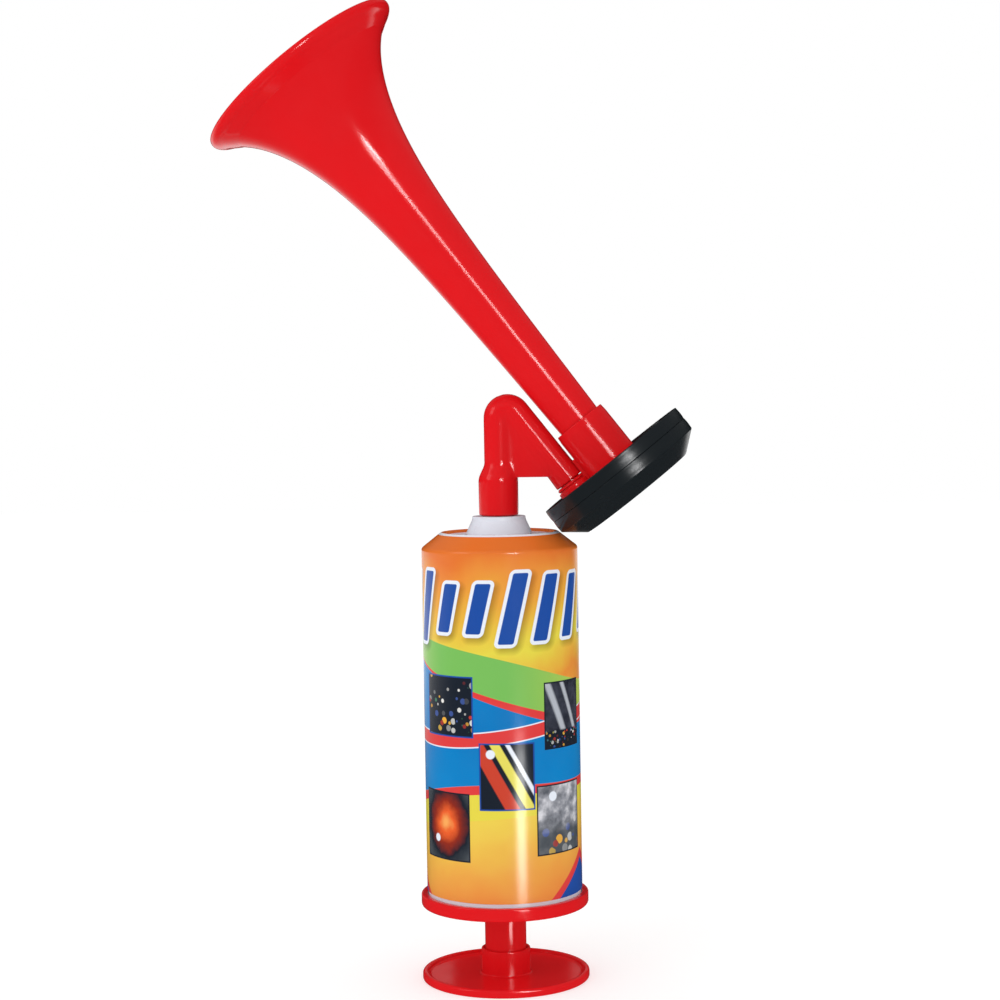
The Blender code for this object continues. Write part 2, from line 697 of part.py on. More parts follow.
def housing(axis):
    """Red housing: a collar for the bell, an air chamber round the nozzle, and the inlet."""
    tail_fit = THROAT_RADIUS + FIT_GAP
    nozzle = NOZZLE_BORE_RADIUS + NOZZLE_WALL
    outline = rounded([
        (tail_fit, COLLAR_HEIGHT),
        (COLLAR_RADIUS, COLLAR_HEIGHT, CRISP),
        (COLLAR_RADIUS, plate_z, BROKEN),
        (HOUSING_RADIUS, plate_z),
        (HOUSING_RADIUS, wall_end_z),
        (HOUSING_RADIUS - HOUSING_WALL, wall_end_z),
        (HOUSING_RADIUS - HOUSING_WALL, plate_back_z),
        (nozzle, plate_back_z),
        (nozzle, nozzle_end_z),
        (NOZZLE_BORE_RADIUS, nozzle_end_z),
        (NOZZLE_BORE_RADIUS, tail_end_z - SEAT_GAP),
        (tail_fit, tail_end_z - SEAT_GAP),
    ])
    body = turned("horn_housing", outline, RED, parent=axis)

    # Inlet: a short stub with a flange, a ridge, and a spigot that enters the gooseneck's leg
    stub_top = LEG_STANDOFF - SEAT_GAP
    flange_end = INLET_FLANGE_TOP + INLET_RIDGE
    ridge = (flange_end + stub_top) / 2.0
    root = plate_back_z + INLET_ROOT
    inlet_outline = [
        (0.0, root),
        (INLET_FLANGE_RADIUS, root),
        (INLET_FLANGE_RADIUS, INLET_FLANGE_TOP),
        (INLET_RADIUS, flange_end),
        (INLET_RADIUS, ridge - INLET_RIDGE),
        (INLET_RADIUS + INLET_RIDGE, ridge),
        (INLET_RADIUS, ridge + INLET_RIDGE),
        (INLET_RADIUS, stub_top),
        (INLET_SPIGOT_RADIUS, stub_top),
        (INLET_SPIGOT_RADIUS, LEG_STANDOFF + INLET_SPIGOT_LENGTH),
        (0.0, LEG_STANDOFF + INLET_SPIGOT_LENGTH),
    ]
    beside = (-LEG_OFFSET, 0.0, 0.0)
    inlet = turned("inlet_shape", inlet_outline, None, SLIM_SEGMENTS, beside, axis)
    combine(body, inlet, "UNION")

    # Rib that bridges the collar and the inlet, with a hollow side that the leg lies in
    inside_collar = (COLLAR_RADIUS + tail_fit) / 2.0
    inside_inlet = LEG_OFFSET - (INLET_RADIUS + INLET_BORE_RADIUS) / 2.0
    rib = plate("rib_shape", [
        (-inside_collar, RIB_HEIGHT),
        (-inside_inlet, RIB_HEIGHT),
        (-inside_inlet, plate_z - PLATE_THICKNESS / 2.0),
        (-inside_collar, plate_z - PLATE_THICKNESS / 2.0),
    ], RIB_THICKNESS, axis)
    hollow = LEG_END_RADIUS + FIT_GAP
    floor, end = stub_top - RIB_INSET, RIB_HEIGHT + LEG_STANDOFF
    cradle = [(0.0, floor), (hollow, floor), (hollow, end), (0.0, end)]
    combine(rib, turned("rib_cutter", cradle, None, SLIM_SEGMENTS, beside, axis), "DIFFERENCE")
    combine(body, rib, "UNION")

    low = plate_back_z - INLET_ROOT
    high = LEG_STANDOFF + INLET_SPIGOT_LENGTH + INLET_ROOT
    bore = [(0.0, low), (INLET_BORE_RADIUS, low), (INLET_BORE_RADIUS, high), (0.0, high)]
    combine(body, turned("inlet_bore_cutter", bore, None, SLIM_SEGMENTS, beside, axis), "DIFFERENCE")
    return body


def bell_radius(depth):
    """Outer radius of the bell at a depth below its mouth."""
    taper = THROAT_RADIUS + BELL_TAPER * (BELL_LENGTH - depth)
    wide = WIDE_FLARE * math.exp(-depth / WIDE_FLARE_REACH)
    lip = LIP_FLARE * math.exp(-depth / LIP_FLARE_REACH)
    return taper + wide + lip


def bell(axis):
    """Flared bell with a bead round its mouth and a straight tail in the collar."""
    depths = []
    for index in range(BELL_STATIONS):
        share = index / (BELL_STATIONS - 1)
        depths.append(BEAD_START + (BELL_LENGTH - BEAD_START) * share ** BELL_CROWDING)
    flare = [(bell_radius(depth), mouth_z - depth) for depth in depths]
    inner_flare = shifted(flare, BELL_WALL)
    tail = [(THROAT_RADIUS, COLLAR_HEIGHT), (THROAT_RADIUS, tail_end_z)]
    tail_bore = THROAT_RADIUS - BELL_WALL
    step_radius = bell_radius(BEAD_START) + BEAD_STEP
    front = mouth_z + BEAD_REACH
    bead = rounded([
        (BEAD_RADIUS - BEAD_WIDTH, front - BEAD_LIP),
        (BEAD_RADIUS - BEAD_WIDTH / 2.0, front, BEAD_ROUND / 2.0),
        (BEAD_RADIUS, front - BEAD_ROUND, BEAD_ROUND),
        (BEAD_RADIUS - BEAD_DRAFT, front - BEAD_SKIRT, BEAD_ROUND),
        (step_radius, mouth_z - BEAD_START),
    ])
    outline = bead + flare[:-1] + tail + [(tail_bore, tail_end_z)] + inner_flare[::-1]
    return turned("horn_bell", outline, RED, parent=axis)


def front_ring(axis):
    """Black ring over the housing's front edge, open in the middle."""
    outline = rounded([
        (window_radius, 0.0, EASED),
        (window_radius, -RING_FACE),
        (skirt_inside, -RING_FACE),
        (skirt_inside, -RING_SKIRT),
        (ring_radius, -RING_SKIRT, CRISP),
        (ring_radius, 0.0, EASED),
    ])
    return turned("housing_front_ring", outline, BLACK, parent=axis)


def diaphragm_cap(axis):
    """Black cap with a chamfered back. Its tongue fits inside the front ring's skirt."""
    ledge = HOUSING_RADIUS - CLAMP_WIDTH
    ceiling = cap_back_z + CAP_BACK_THICKNESS
    outline = rounded([
        (0.0, ceiling),
        (cap_back_radius - CAP_BACK_THICKNESS, ceiling, ROUND),
        (ledge, cap_seat_z - CAP_LEDGE),
        (ledge, cap_seat_z),
        (tongue_inside, cap_seat_z),
        (tongue_inside, cap_side_top_z + CAP_TONGUE),
        (tongue_outside, cap_side_top_z + CAP_TONGUE, EASED),
        (tongue_outside, cap_side_top_z),
        (ring_radius, cap_side_top_z, CRISP),
        (ring_radius, cap_side_end_z, SOFT),
        (cap_back_radius, cap_back_z, SOFT),
        (0.0, cap_back_z),
    ])
    return turned("diaphragm_cap", outline, BLACK, parent=axis)


def flat_ring(name, outer, inner, top, thickness, look, axis):
    """A flat washer whose upper face is at top."""
    outline = [(inner, top - thickness), (outer, top - thickness), (outer, top), (inner, top)]
    return turned(name, outline, look, parent=axis)


def diaphragm_stack(axis):
    """Gasket, diaphragm and clamp ring between the housing's wall and the cap."""
    wall_inside = HOUSING_RADIUS - HOUSING_WALL
    clamp_inside = HOUSING_RADIUS - CLAMP_WIDTH
    flat_ring("diaphragm_gasket", HOUSING_RADIUS, wall_inside, gasket_z, GASKET_THICKNESS, RUBBER, axis)
    outline = [
        (0.0, diaphragm_z - DIAPHRAGM_THICKNESS),
        (HOUSING_RADIUS, diaphragm_z - DIAPHRAGM_THICKNESS),
        (HOUSING_RADIUS, diaphragm_z),
        (0.0, diaphragm_z),
    ]
    turned("diaphragm", outline, FILM, parent=axis)
    flat_ring("clamp_ring", HOUSING_RADIUS, clamp_inside, clamp_z, CLAMP_THICKNESS, WHITE, axis)


def build():
    """Make every piece, from the handle up to the bell and the diaphragm's cap."""
    for old in list(bpy.data.objects):
        bpy.data.objects.remove(old, do_unlink=True)
    swivel = empty("swivel_axis", (0.0, 0.0, neck_top_z))
    horn_axis = empty("horn_axis", horn_origin, swivel, TILT)
    handle()
    rod()
    piston_head()
    piston_ring()
    bottom_cap()
    barrel()
    label_sleeve()
    neck_socket()
    neck_ring()
    gooseneck()
    housing(horn_axis)
    bell(horn_axis)
    front_ring(horn_axis)
    diaphragm_stack(horn_axis)
    diaphragm_cap(horn_axis)


build()
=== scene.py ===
from math import ceil, cos, degrees, exp, pi, radians, sin, tan, tau

import bmesh
import bpy
from mathutils import Matrix, Vector

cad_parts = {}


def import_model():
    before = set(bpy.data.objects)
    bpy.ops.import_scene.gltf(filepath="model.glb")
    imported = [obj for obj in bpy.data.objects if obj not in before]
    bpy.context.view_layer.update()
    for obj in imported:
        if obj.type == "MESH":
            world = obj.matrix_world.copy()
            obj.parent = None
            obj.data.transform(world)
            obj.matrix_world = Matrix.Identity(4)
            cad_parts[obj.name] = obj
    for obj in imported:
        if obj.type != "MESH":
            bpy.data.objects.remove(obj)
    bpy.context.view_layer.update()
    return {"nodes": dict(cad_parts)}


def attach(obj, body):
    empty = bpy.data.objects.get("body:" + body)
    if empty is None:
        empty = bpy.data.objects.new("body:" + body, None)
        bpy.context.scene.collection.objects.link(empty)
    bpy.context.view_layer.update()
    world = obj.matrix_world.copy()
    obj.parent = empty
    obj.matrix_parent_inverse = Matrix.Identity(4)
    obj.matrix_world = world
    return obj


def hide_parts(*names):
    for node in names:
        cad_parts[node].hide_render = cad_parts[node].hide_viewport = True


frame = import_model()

# Gaps between separate pieces, in metres as everything here
FIT_GAP = 0.0002
SEAT_GAP = 0.00025

# Rounded edges, from crisp to soft
CRISP = 0.0003
EASED = 0.0004
BROKEN = 0.0005
SOFT = 0.0006
ROUND = 0.0009
FULL = 0.0012

# Handle and rod
HANDLE_RADIUS = 0.028
HANDLE_FLOOR = 0.0016
HANDLE_RIM_HEIGHT = 0.0027
HANDLE_RIM_WIDTH = 0.0019
HANDLE_RIM_DRAFT = 0.0004
HUB_RADIUS = 0.0082
HUB_HEIGHT = 0.01
ROD_RADIUS = 0.00693
ROD_WALL = 0.0016
ROD_NECK_RADIUS = 0.005
ROD_HEAD_RADIUS = 0.0063
ROD_FOOT_Z = 0.00185
ROD_SHOULDER_Z = 0.11615
ROD_END_THICKNESS = 0.0035
ROD_HEAD_Z = 0.12535
ROD_HEAD_LAND = 0.0006
ROD_HEAD_HEIGHT = 0.0016

# Bottom cap
BASE_Z = 0.0248
BASE_RADIUS = 0.028
BASE_FLOOR = 0.0022
BASE_RIM_HEIGHT = 0.0044
BASE_PLUG_HEIGHT = 0.007
BASE_PLUG_WALL = 0.0018
GUIDE_BORE_RADIUS = 0.00723
GUIDE_HEIGHT = 0.011
GUIDE_WALL = 0.002
AIR_HOLES = 6
AIR_HOLE_RADIUS = 0.0015
AIR_HOLE_CIRCLE = 0.0155

# Barrel and sleeve
CAN_RADIUS = 0.026
SLEEVE_THICKNESS = 0.0003
SLEEVE_FOOT_Z = 0.0304
SLEEVE_DEPTH = 0.0004
LABEL_HEIGHT = 0.1222
BARREL_WALL = 0.0016
BARREL_Z = 0.02725
BARREL_RADIUS = 0.0256
BORE_RADIUS = 0.024
SHOULDER_Z = 0.1448
SHOULDER_FILLET = 0.0014
CROWN_RADIUS = 0.0199
CROWN_EDGE_Z = 0.1496
CROWN_RING_Z = 0.1499
CROWN_FLOOR_Z = 0.1489
CROWN_RING_WIDTH = 0.0013
CROWN_THICKNESS = 0.0018
CROWN_PRINT_START = 0.0181
CROWN_PRINT_END = 0.01925

# Neck
NECK_Z = 0.14915
NECK_BASE_RADIUS = 0.0109
NECK_TOP_RADIUS = 0.0089
NECK_HEIGHT = 0.00595
NECK_LIP = 0.001
NECK_FOOT = 0.0005
NECK_BORE_RADIUS = 0.0054
NECK_PLUG_RADIUS = 0.0078
NECK_BARB = 0.0006
NECK_PLUG_TAIL = 0.0014
NECK_PLUG_DRAFT = 0.0004
NECK_PORT_RADIUS = 0.0036

# Gooseneck
SWIVEL_Z = 0.1551
SPIGOT_RADIUS = 0.0052
SPIGOT_LENGTH = 0.0072
SPIGOT_GROOVE = 0.0009
SPIGOT_GROOVE_DROP = 0.0032
STEM_RADIUS = 0.0066
STEM_HEIGHT = 0.0128
STEM_TAPER = 0.0043
PIPE_RADIUS = 0.00495
PIPE_BORE_RADIUS = 0.0032
BEND_RADIUS = 0.003
ELBOW_RISE = 0.0412
ELBOW_SHIFT = 0.0004
LEG_LENGTH = 0.0379
LEG_END_RADIUS = 0.0052
LEG_FLARE = 0.006
LEG_STANDOFF = 0.003045
WEB_THICKNESS = 0.0068
WEB_LIFT = 0.0128
WEB_INSET = 0.0007
CREASE_STEP = 0.001
CROTCH_START = -0.0004
CROTCH_FADE = 0.003
CROTCH_LIFT = 0.0002
TAPER_REACH = 0.0034
TAPER_SHARE = 0.35
CROTCH_ROUNDS = 420

# Horn
TILT = radians(38.0)
LEG_OFFSET = 0.01484
COLLAR_RADIUS = 0.0093
COLLAR_HEIGHT = 0.0165
COLLAR_LEAD = 0.0024
COLLAR_LEAD_DEPTH = 0.00022
TAIL_END = 0.0075
PLATE_Z = -0.00185
PLATE_THICKNESS = 0.0018
PLATE_BACK_Z = -0.00365
WALL_END_Z = -0.00615
NOZZLE_END_Z = -0.00685
HOUSING_RADIUS = 0.0242
HOUSING_WALL = 0.002
NOZZLE_BORE_RADIUS = 0.005
NOZZLE_WALL = 0.0016
INLET_RADIUS = 0.005
INLET_FLANGE_RADIUS = 0.0058
INLET_FLANGE_TOP = 0.0011
INLET_BORE_RADIUS = 0.0024
INLET_SPIGOT_RADIUS = 0.0037
INLET_SPIGOT_LENGTH = 0.0055
INLET_RIDGE = 0.0004
RIDGE_SPREAD = 1.2
INLET_ROOT = 0.0005
RIB_HEIGHT = 0.0077
RIB_THICKNESS = 0.005
RIB_INSET = 0.0002

# Black ring and cap
RING_RADIUS = 0.0277
RING_FACE = 0.0016
RING_SKIRT = 0.0043
RING_SKIRT_INSIDE = 0.0261
RING_WINDOW_RADIUS = 0.021
CAP_TOP_Z = -0.0044
CAP_SIDE_END_Z = -0.0086
CAP_BACK_Z = -0.0141
CAP_BACK_RADIUS = 0.0208
CAP_BACK_THICKNESS = 0.0022
CAP_TONGUE = 0.002
CAP_TONGUE_OUTSIDE = 0.0259
CAP_TONGUE_INSIDE = 0.0244
CAP_SEAT_Z = -0.0089
CAP_LEDGE_RADIUS = 0.0216
CAP_LEDGE = 0.0006
SIDE_CROWN = 0.0001

# Bell
BELL_LENGTH = 0.1482
BELL_WALL = 0.0016
THROAT_RADIUS = 0.0075
BELL_TAPER = 0.0231
WIDE_FLARE = 0.02387
WIDE_FLARE_REACH = 0.02353
LIP_FLARE = 0.00556
LIP_FLARE_REACH = 0.00447
MOUTH_Z = COLLAR_HEIGHT + BELL_LENGTH
FLARE_START = 0.0062

# Bead round the mouth, from its inside over its top to its outside, as radius and height over the mouth
BEAD = [
    (0.0319, -0.003), (0.0339, -0.00125), (0.0356, -0.00008), (0.03655, 0.00018), (0.03722, -0.00018),
    (0.03738, -0.0009), (0.03712, -0.0018), (0.03615, -0.0027), (0.0346, -0.00355), (0.033, -0.0046),
]

# Facets and smoothing
WIDE_SEGMENTS = 144
SLIM_SEGMENTS = 96
HOLE_SEGMENTS = 32
BELL_STATIONS = 90
BELL_CROWDING = 1.6
BEAD_STEPS = 6
BEND_STEPS = 36
RIDGE_STEPS = 4
SIDE_STEPS = 8
ARC_DEGREES = 11.0
LONGEST_REACH = 0.49
SUPPORT_STEP = 0.0004
LONGEST_SPAN = 0.006
SHARP_ANGLE = radians(38.0)
MELTED_ANGLE = radians(60.0)
MERGE_DISTANCE = 1e-6
ON_AXIS = 1e-7
REMESH_SIZE = 0.00022
SMOOTH_FACTOR = 0.5
MELT_ROUNDS = 6

along_leg = Vector((sin(TILT), 0.0, -cos(TILT)))
away_from_can = Vector((cos(TILT), 0.0, sin(TILT)))
elbow = Vector((ELBOW_SHIFT, 0.0, ELBOW_RISE))
horn_origin = elbow + (LEG_LENGTH + LEG_STANDOFF) * along_leg + LEG_OFFSET * away_from_can
swivel_place = Matrix.Translation((0.0, 0.0, SWIVEL_Z))
horn_place = swivel_place @ Matrix.Translation(horn_origin) @ Matrix.Rotation(-TILT, 4, "Y")
inlet_place = horn_place @ Matrix.Translation((-LEG_OFFSET, 0.0, 0.0))


# Outlines

def rounded(corners, closed=True):
    """An outline from corners given as (radius, height) or (radius, height, fillet)."""
    points = []
    count = len(corners)
    for index, corner in enumerate(corners):
        here = Vector(corner[:2])
        if len(corner) == 2:
            points.append(tuple(here))
            continue
        back = Vector(corners[index - 1][:2]) - here
        ahead = Vector(corners[(index + 1) % count][:2]) - here
        half = back.angle(ahead) / 2.0
        longest = LONGEST_REACH * min(back.length, ahead.length)
        reach = min(corner[2] / tan(half), longest)
        fillet = reach * tan(half)
        centre = here + (back.normalized() + ahead.normalized()).normalized() * (fillet / sin(half))
        start = here + back.normalized() * reach - centre
        end = here + ahead.normalized() * reach - centre
        steps = max(2, ceil(degrees(pi - 2.0 * half) / ARC_DEGREES))
        for step in range(steps + 1):
            spoke = start.normalized().slerp(end.normalized(), step / steps) * fillet
            points.append(tuple(centre + spoke))
    return supported(points, closed)


def supported(points, closed):
    """The outline with extra points near the ends of its straight stretches, so that they shade flat."""
    filled = []
    for index, point in enumerate(points):
        here, ahead = Vector(point), Vector(points[(index + 1) % len(points)])
        filled.append(tuple(here))
        span = (ahead - here).length
        at_end = index == len(points) - 1 and not closed
        on_axis = here.x <= 0.0 and ahead.x <= 0.0
        if at_end or on_axis or span <= 3.0 * SUPPORT_STEP:
            continue
        inner = span - 2.0 * SUPPORT_STEP
        pieces = max(1, ceil(inner / LONGEST_SPAN))
        way = (ahead - here).normalized()
        for step in range(pieces + 1):
            filled.append(tuple(here + way * (SUPPORT_STEP + inner * step / pieces)))
    return filled


def shifted(line, distance):
    """The line moved sideways by distance, to the right of its direction of travel."""
    moved = []
    for index, point in enumerate(line):
        here = Vector(point)
        before = Vector(line[max(index - 1, 0)])
        after = Vector(line[min(index + 1, len(line) - 1)])
        first = (here - before).normalized() if index > 0 else (after - here).normalized()
        second = (after - here).normalized() if index < len(line) - 1 else first
        normal = Vector((first.y + second.y, -first.x - second.x)).normalized()
        stretch = normal.dot(Vector((first.y, -first.x)))
        moved.append(tuple(here + normal * (distance / stretch)))
    return moved


def curved(points, steps):
    """A smooth curve from the second point to the last but one, as a Catmull-Rom spline without its end."""
    line = []
    for span in zip(points, points[1:], points[2:], points[3:]):
        a, b, c, d = map(Vector, span)
        for step in range(steps):
            t = step / steps
            bend = (2.0 * a - 5.0 * b + 4.0 * c - d) * t ** 2
            line.append(tuple(0.5 * ((2.0 * b) + (c - a) * t + bend + (3.0 * b - a - 3.0 * c + d) * t ** 3)))
    return line


# Meshes

def linked(name, data):
    """A new object in the scene."""
    made = bpy.data.objects.new(name, data)
    bpy.context.scene.collection.objects.link(made)
    return made


def object_of(bm, name):
    """A new object in the scene from the bmesh, with its faces pointing out."""
    bmesh.ops.recalc_face_normals(bm, faces=bm.faces)
    if bm.calc_volume(signed=True) < 0.0:
        bmesh.ops.reverse_faces(bm, faces=bm.faces)
    mesh = bpy.data.meshes.new(name)
    bm.to_mesh(mesh)
    bm.free()
    return linked(name, mesh)


def join_rings(bm, first, second):
    """Faces between two rings of points. One of them may be a pole, which is a single point."""
    count = max(len(first), len(second))
    for index in range(count):
        after = (index + 1) % count
        low = first[index % len(first)], first[after % len(first)]
        high = second[after % len(second)], second[index % len(second)]
        bm.faces.new(list(dict.fromkeys(low + high)))


def lathe(name, outline, segments=WIDE_SEGMENTS, place=Matrix.Identity(4)):
    """An object turned about Z and then put in place. Points on the axis become poles."""
    bm = bmesh.new()
    rings = []
    for radius, height in outline:
        ring = []
        for index in range(segments if radius > ON_AXIS else 1):
            angle = tau * index / segments
            ring.append(bm.verts.new(place @ Vector((radius * cos(angle), radius * sin(angle), height))))
        rings.append(ring)
    for first, second in zip(rings, rings[1:]):
        join_rings(bm, first, second)
    if len(rings[0]) > 1:
        join_rings(bm, rings[-1], rings[0])
    return object_of(bm, name)


def box_plate(name, outline, thickness, place):
    """A flat plate with an outline in XZ, centred on Y."""
    bm = bmesh.new()
    face = bm.faces.new([bm.verts.new((x, -thickness / 2.0, z)) for x, z in outline])
    grown = bmesh.ops.extrude_face_region(bm, geom=[face])
    moved = [item for item in grown["geom"] if isinstance(item, bmesh.types.BMVert)]
    bmesh.ops.translate(bm, verts=moved, vec=(0.0, thickness, 0.0))
    bmesh.ops.transform(bm, matrix=place, verts=bm.verts)
    return object_of(bm, name)


def combined(body, tool, operation="UNION"):
    """Joins another object to the body, or cuts it away."""
    change = body.modifiers.new("combine", "BOOLEAN")
    change.operation = operation
    change.object = tool
    baked(body)
    bpy.data.objects.remove(tool, do_unlink=True)


def drilled(body, radius, low, high, place, segments=SLIM_SEGMENTS):
    """Cuts a cylinder out of the body."""
    outline = [(0.0, low), (radius, low), (radius, high), (0.0, high)]
    combined(body, lathe("drill", outline, segments, place), "DIFFERENCE")


def baked(body):
    """Applies the modifiers of the body to its mesh."""
    graph = bpy.context.evaluated_depsgraph_get()
    mesh = bpy.data.meshes.new_from_object(body.evaluated_get(graph))
    body.modifiers.clear()
    body.data = mesh


def finished(body, name, node, group, material, angle=SHARP_ANGLE):
    """Names and shades the piece, and puts it in the CAD node's place."""
    body.name = name
    body.data.name = name
    body.data.shade_smooth()
    body.data.set_sharp_from_angle(angle=angle)
    body.data.materials.clear()
    body.data.materials.append(material)
    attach(body, group)
    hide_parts(node)


def turned(name, node, group, material, outline, segments=WIDE_SEGMENTS, place=Matrix.Identity(4)):
    """Makes a finished piece from the outline alone."""
    finished(lathe(name, outline, segments, place), name, node, group, material)


# Pieces

def handle(material):
    """Round dish with a rounded rim, and a hub that takes the rod's end."""
    rim_inside = HANDLE_RADIUS - HANDLE_RIM_WIDTH
    socket = ROD_RADIUS + FIT_GAP
    outline = rounded([
        (0.0, 0.0),
        (HANDLE_RADIUS, 0.0, SOFT),
        (HANDLE_RADIUS, HANDLE_RIM_HEIGHT, ROUND),
        (rim_inside, HANDLE_RIM_HEIGHT, ROUND),
        (rim_inside - HANDLE_RIM_DRAFT, HANDLE_FLOOR, ROUND),
        (HUB_RADIUS, HANDLE_FLOOR, SOFT),
        (HUB_RADIUS, HUB_HEIGHT, EASED),
        (socket, HUB_HEIGHT, CRISP / 2.0),
        (socket, HANDLE_FLOOR),
        (0.0, HANDLE_FLOOR),
    ], closed=False)
    turned("handle_dish", "pump_handle", "plunger", material, outline)


def rod(material):
    """Tube from the handle's hub to the piston, with a closed end and a snap head."""
    inside = ROD_RADIUS - ROD_WALL
    ceiling = ROD_SHOULDER_Z - ROD_END_THICKNESS
    outline = rounded([
        (0.0, ceiling),
        (inside, ceiling, EASED),
        (inside, ROD_FOOT_Z),
        (ROD_RADIUS, ROD_FOOT_Z, CRISP),
        (ROD_RADIUS, ROD_SHOULDER_Z, EASED),
        (ROD_NECK_RADIUS, ROD_SHOULDER_Z),
        (ROD_NECK_RADIUS, ROD_HEAD_Z),
        (ROD_HEAD_RADIUS, ROD_HEAD_Z),
        (ROD_HEAD_RADIUS, ROD_HEAD_Z + ROD_HEAD_LAND),
        (ROD_NECK_RADIUS, ROD_HEAD_Z + ROD_HEAD_HEIGHT),
        (0.0, ROD_HEAD_Z + ROD_HEAD_HEIGHT),
    ], closed=False)
    turned("rod_tube", "pump_rod", "plunger", material, outline, SLIM_SEGMENTS)


def bottom_cap(material):
    """Cap that closes the barrel, guides the rod and lets air in through a ring of holes."""
    rim_inside = BARREL_RADIUS + FIT_GAP
    plug = BORE_RADIUS - FIT_GAP
    floor = BASE_Z + BASE_FLOOR
    outline = rounded([
        (GUIDE_BORE_RADIUS, BASE_Z, CRISP),
        (BASE_RADIUS, BASE_Z, FULL),
        (BASE_RADIUS, BASE_Z + BASE_RIM_HEIGHT, SOFT),
        (rim_inside, BASE_Z + BASE_RIM_HEIGHT, CRISP),
        (rim_inside, floor),
        (plug, floor),
        (plug, floor + BASE_PLUG_HEIGHT, SOFT),
        (plug - BASE_PLUG_WALL, floor + BASE_PLUG_HEIGHT),
        (plug - BASE_PLUG_WALL, floor, EASED),
        (GUIDE_BORE_RADIUS + GUIDE_WALL, floor, EASED),
        (GUIDE_BORE_RADIUS + GUIDE_WALL, floor + GUIDE_HEIGHT, CRISP),
        (GUIDE_BORE_RADIUS, floor + GUIDE_HEIGHT),
    ])
    body = lathe("cap", outline)
    for index in range(AIR_HOLES):
        angle = tau * (index + 0.5) / AIR_HOLES
        x, y = AIR_HOLE_CIRCLE * cos(angle), AIR_HOLE_CIRCLE * sin(angle)
        place = Matrix.Translation((x, y, 0.0))
        drilled(body, AIR_HOLE_RADIUS, BASE_Z - BASE_FLOOR, floor + BASE_FLOOR, place, HOLE_SEGMENTS)
    finished(body, "base_cap", "bottom_cap", "barrel", material)


def can_surface():
    """The printed surface's outline, from the sleeve's lower end up the side and over the shoulder."""
    return rounded([
        (CAN_RADIUS, SLEEVE_FOOT_Z),
        (CAN_RADIUS, SHOULDER_Z, SHOULDER_FILLET),
        (CROWN_RADIUS, CROWN_EDGE_Z),
    ], closed=False)


def sleeve(material):
    """Thin printed sleeve, with its artwork laid out in millimetres: U round the can, V up it."""
    outside = can_surface()
    inside = shifted(outside, -SLEEVE_THICKNESS)
    body = lathe("sleeve", outside + inside[::-1])
    lengths = [0.0]
    for here, ahead in zip(outside, outside[1:]):
        lengths.append(lengths[-1] + (Vector(ahead) - Vector(here)).length)
    lengths += lengths[::-1]
    layer = body.data.uv_layers.new(name="label")
    for polygon in body.data.polygons:
        columns = [vertex % WIDE_SEGMENTS for vertex in polygon.vertices]
        wraps = max(columns) - min(columns) > WIDE_SEGMENTS // 2
        for loop, vertex, column in zip(polygon.loop_indices, polygon.vertices, columns):
            turn = column + (WIDE_SEGMENTS if wraps and column < WIDE_SEGMENTS // 2 else 0)
            layer.data[loop].uv = (turn / WIDE_SEGMENTS, lengths[vertex // WIDE_SEGMENTS] / LABEL_HEIGHT)
    finished(body, "printed_sleeve", "label_sleeve", "barrel", material)


def barrel(material):
    """White pump barrel with a conical shoulder and a crown that takes the neck."""
    outside = shifted(can_surface(), -SLEEVE_DEPTH)[1:]
    inside = shifted(can_surface(), -(SLEEVE_DEPTH + BARREL_WALL))[1:]
    ring_outside = outside[-1][0]
    ring_inside = ring_outside - CROWN_RING_WIDTH
    hole = NECK_PLUG_RADIUS + FIT_GAP
    ceiling = CROWN_FLOOR_Z - CROWN_THICKNESS
    crown = rounded([
        outside[-2],
        (ring_outside, CROWN_RING_Z, BROKEN),
        (ring_inside, CROWN_RING_Z, BROKEN),
        (ring_inside, CROWN_FLOOR_Z, CRISP),
        (hole, CROWN_FLOOR_Z, CRISP),
        (hole, ceiling),
        (inside[-1][0] - CROWN_RING_WIDTH, ceiling),
    ], closed=False)[1:]
    inner = [point for point in inside if point[1] < ceiling - EASED]
    outline = [(BORE_RADIUS, BARREL_Z), (BARREL_RADIUS, BARREL_Z)] + outside[:-1] + crown + inner[::-1]
    turned("barrel_shell", "barrel", "barrel", material, outline)


def neck(material):
    """White socket on the crown."""
    bore_floor = NECK_Z + NECK_HEIGHT - SPIGOT_LENGTH - SEAT_GAP
    under_crown = NECK_Z - (SEAT_GAP + CROWN_THICKNESS + SEAT_GAP)
    plug_end = under_crown - NECK_PLUG_TAIL
    top = NECK_Z + NECK_HEIGHT
    outline = rounded([
        (NECK_BORE_RADIUS, top, CRISP),
        (NECK_BORE_RADIUS, bore_floor),
        (NECK_PORT_RADIUS, bore_floor),
        (NECK_PORT_RADIUS, plug_end),
        (NECK_PLUG_RADIUS - NECK_PLUG_DRAFT, plug_end),
        (NECK_PLUG_RADIUS + NECK_BARB, under_crown - NECK_BARB / 2.0),
        (NECK_PLUG_RADIUS + NECK_BARB, under_crown),
        (NECK_PLUG_RADIUS, under_crown),
        (NECK_PLUG_RADIUS, NECK_Z),
        (NECK_BASE_RADIUS, NECK_Z),
        (NECK_BASE_RADIUS, NECK_Z + NECK_FOOT, CRISP),
        (NECK_TOP_RADIUS, top - NECK_LIP, FULL),
        (NECK_TOP_RADIUS, top, EASED),
    ])
    turned("neck_moulding", "neck_socket", "barrel", material, outline, SLIM_SEGMENTS)


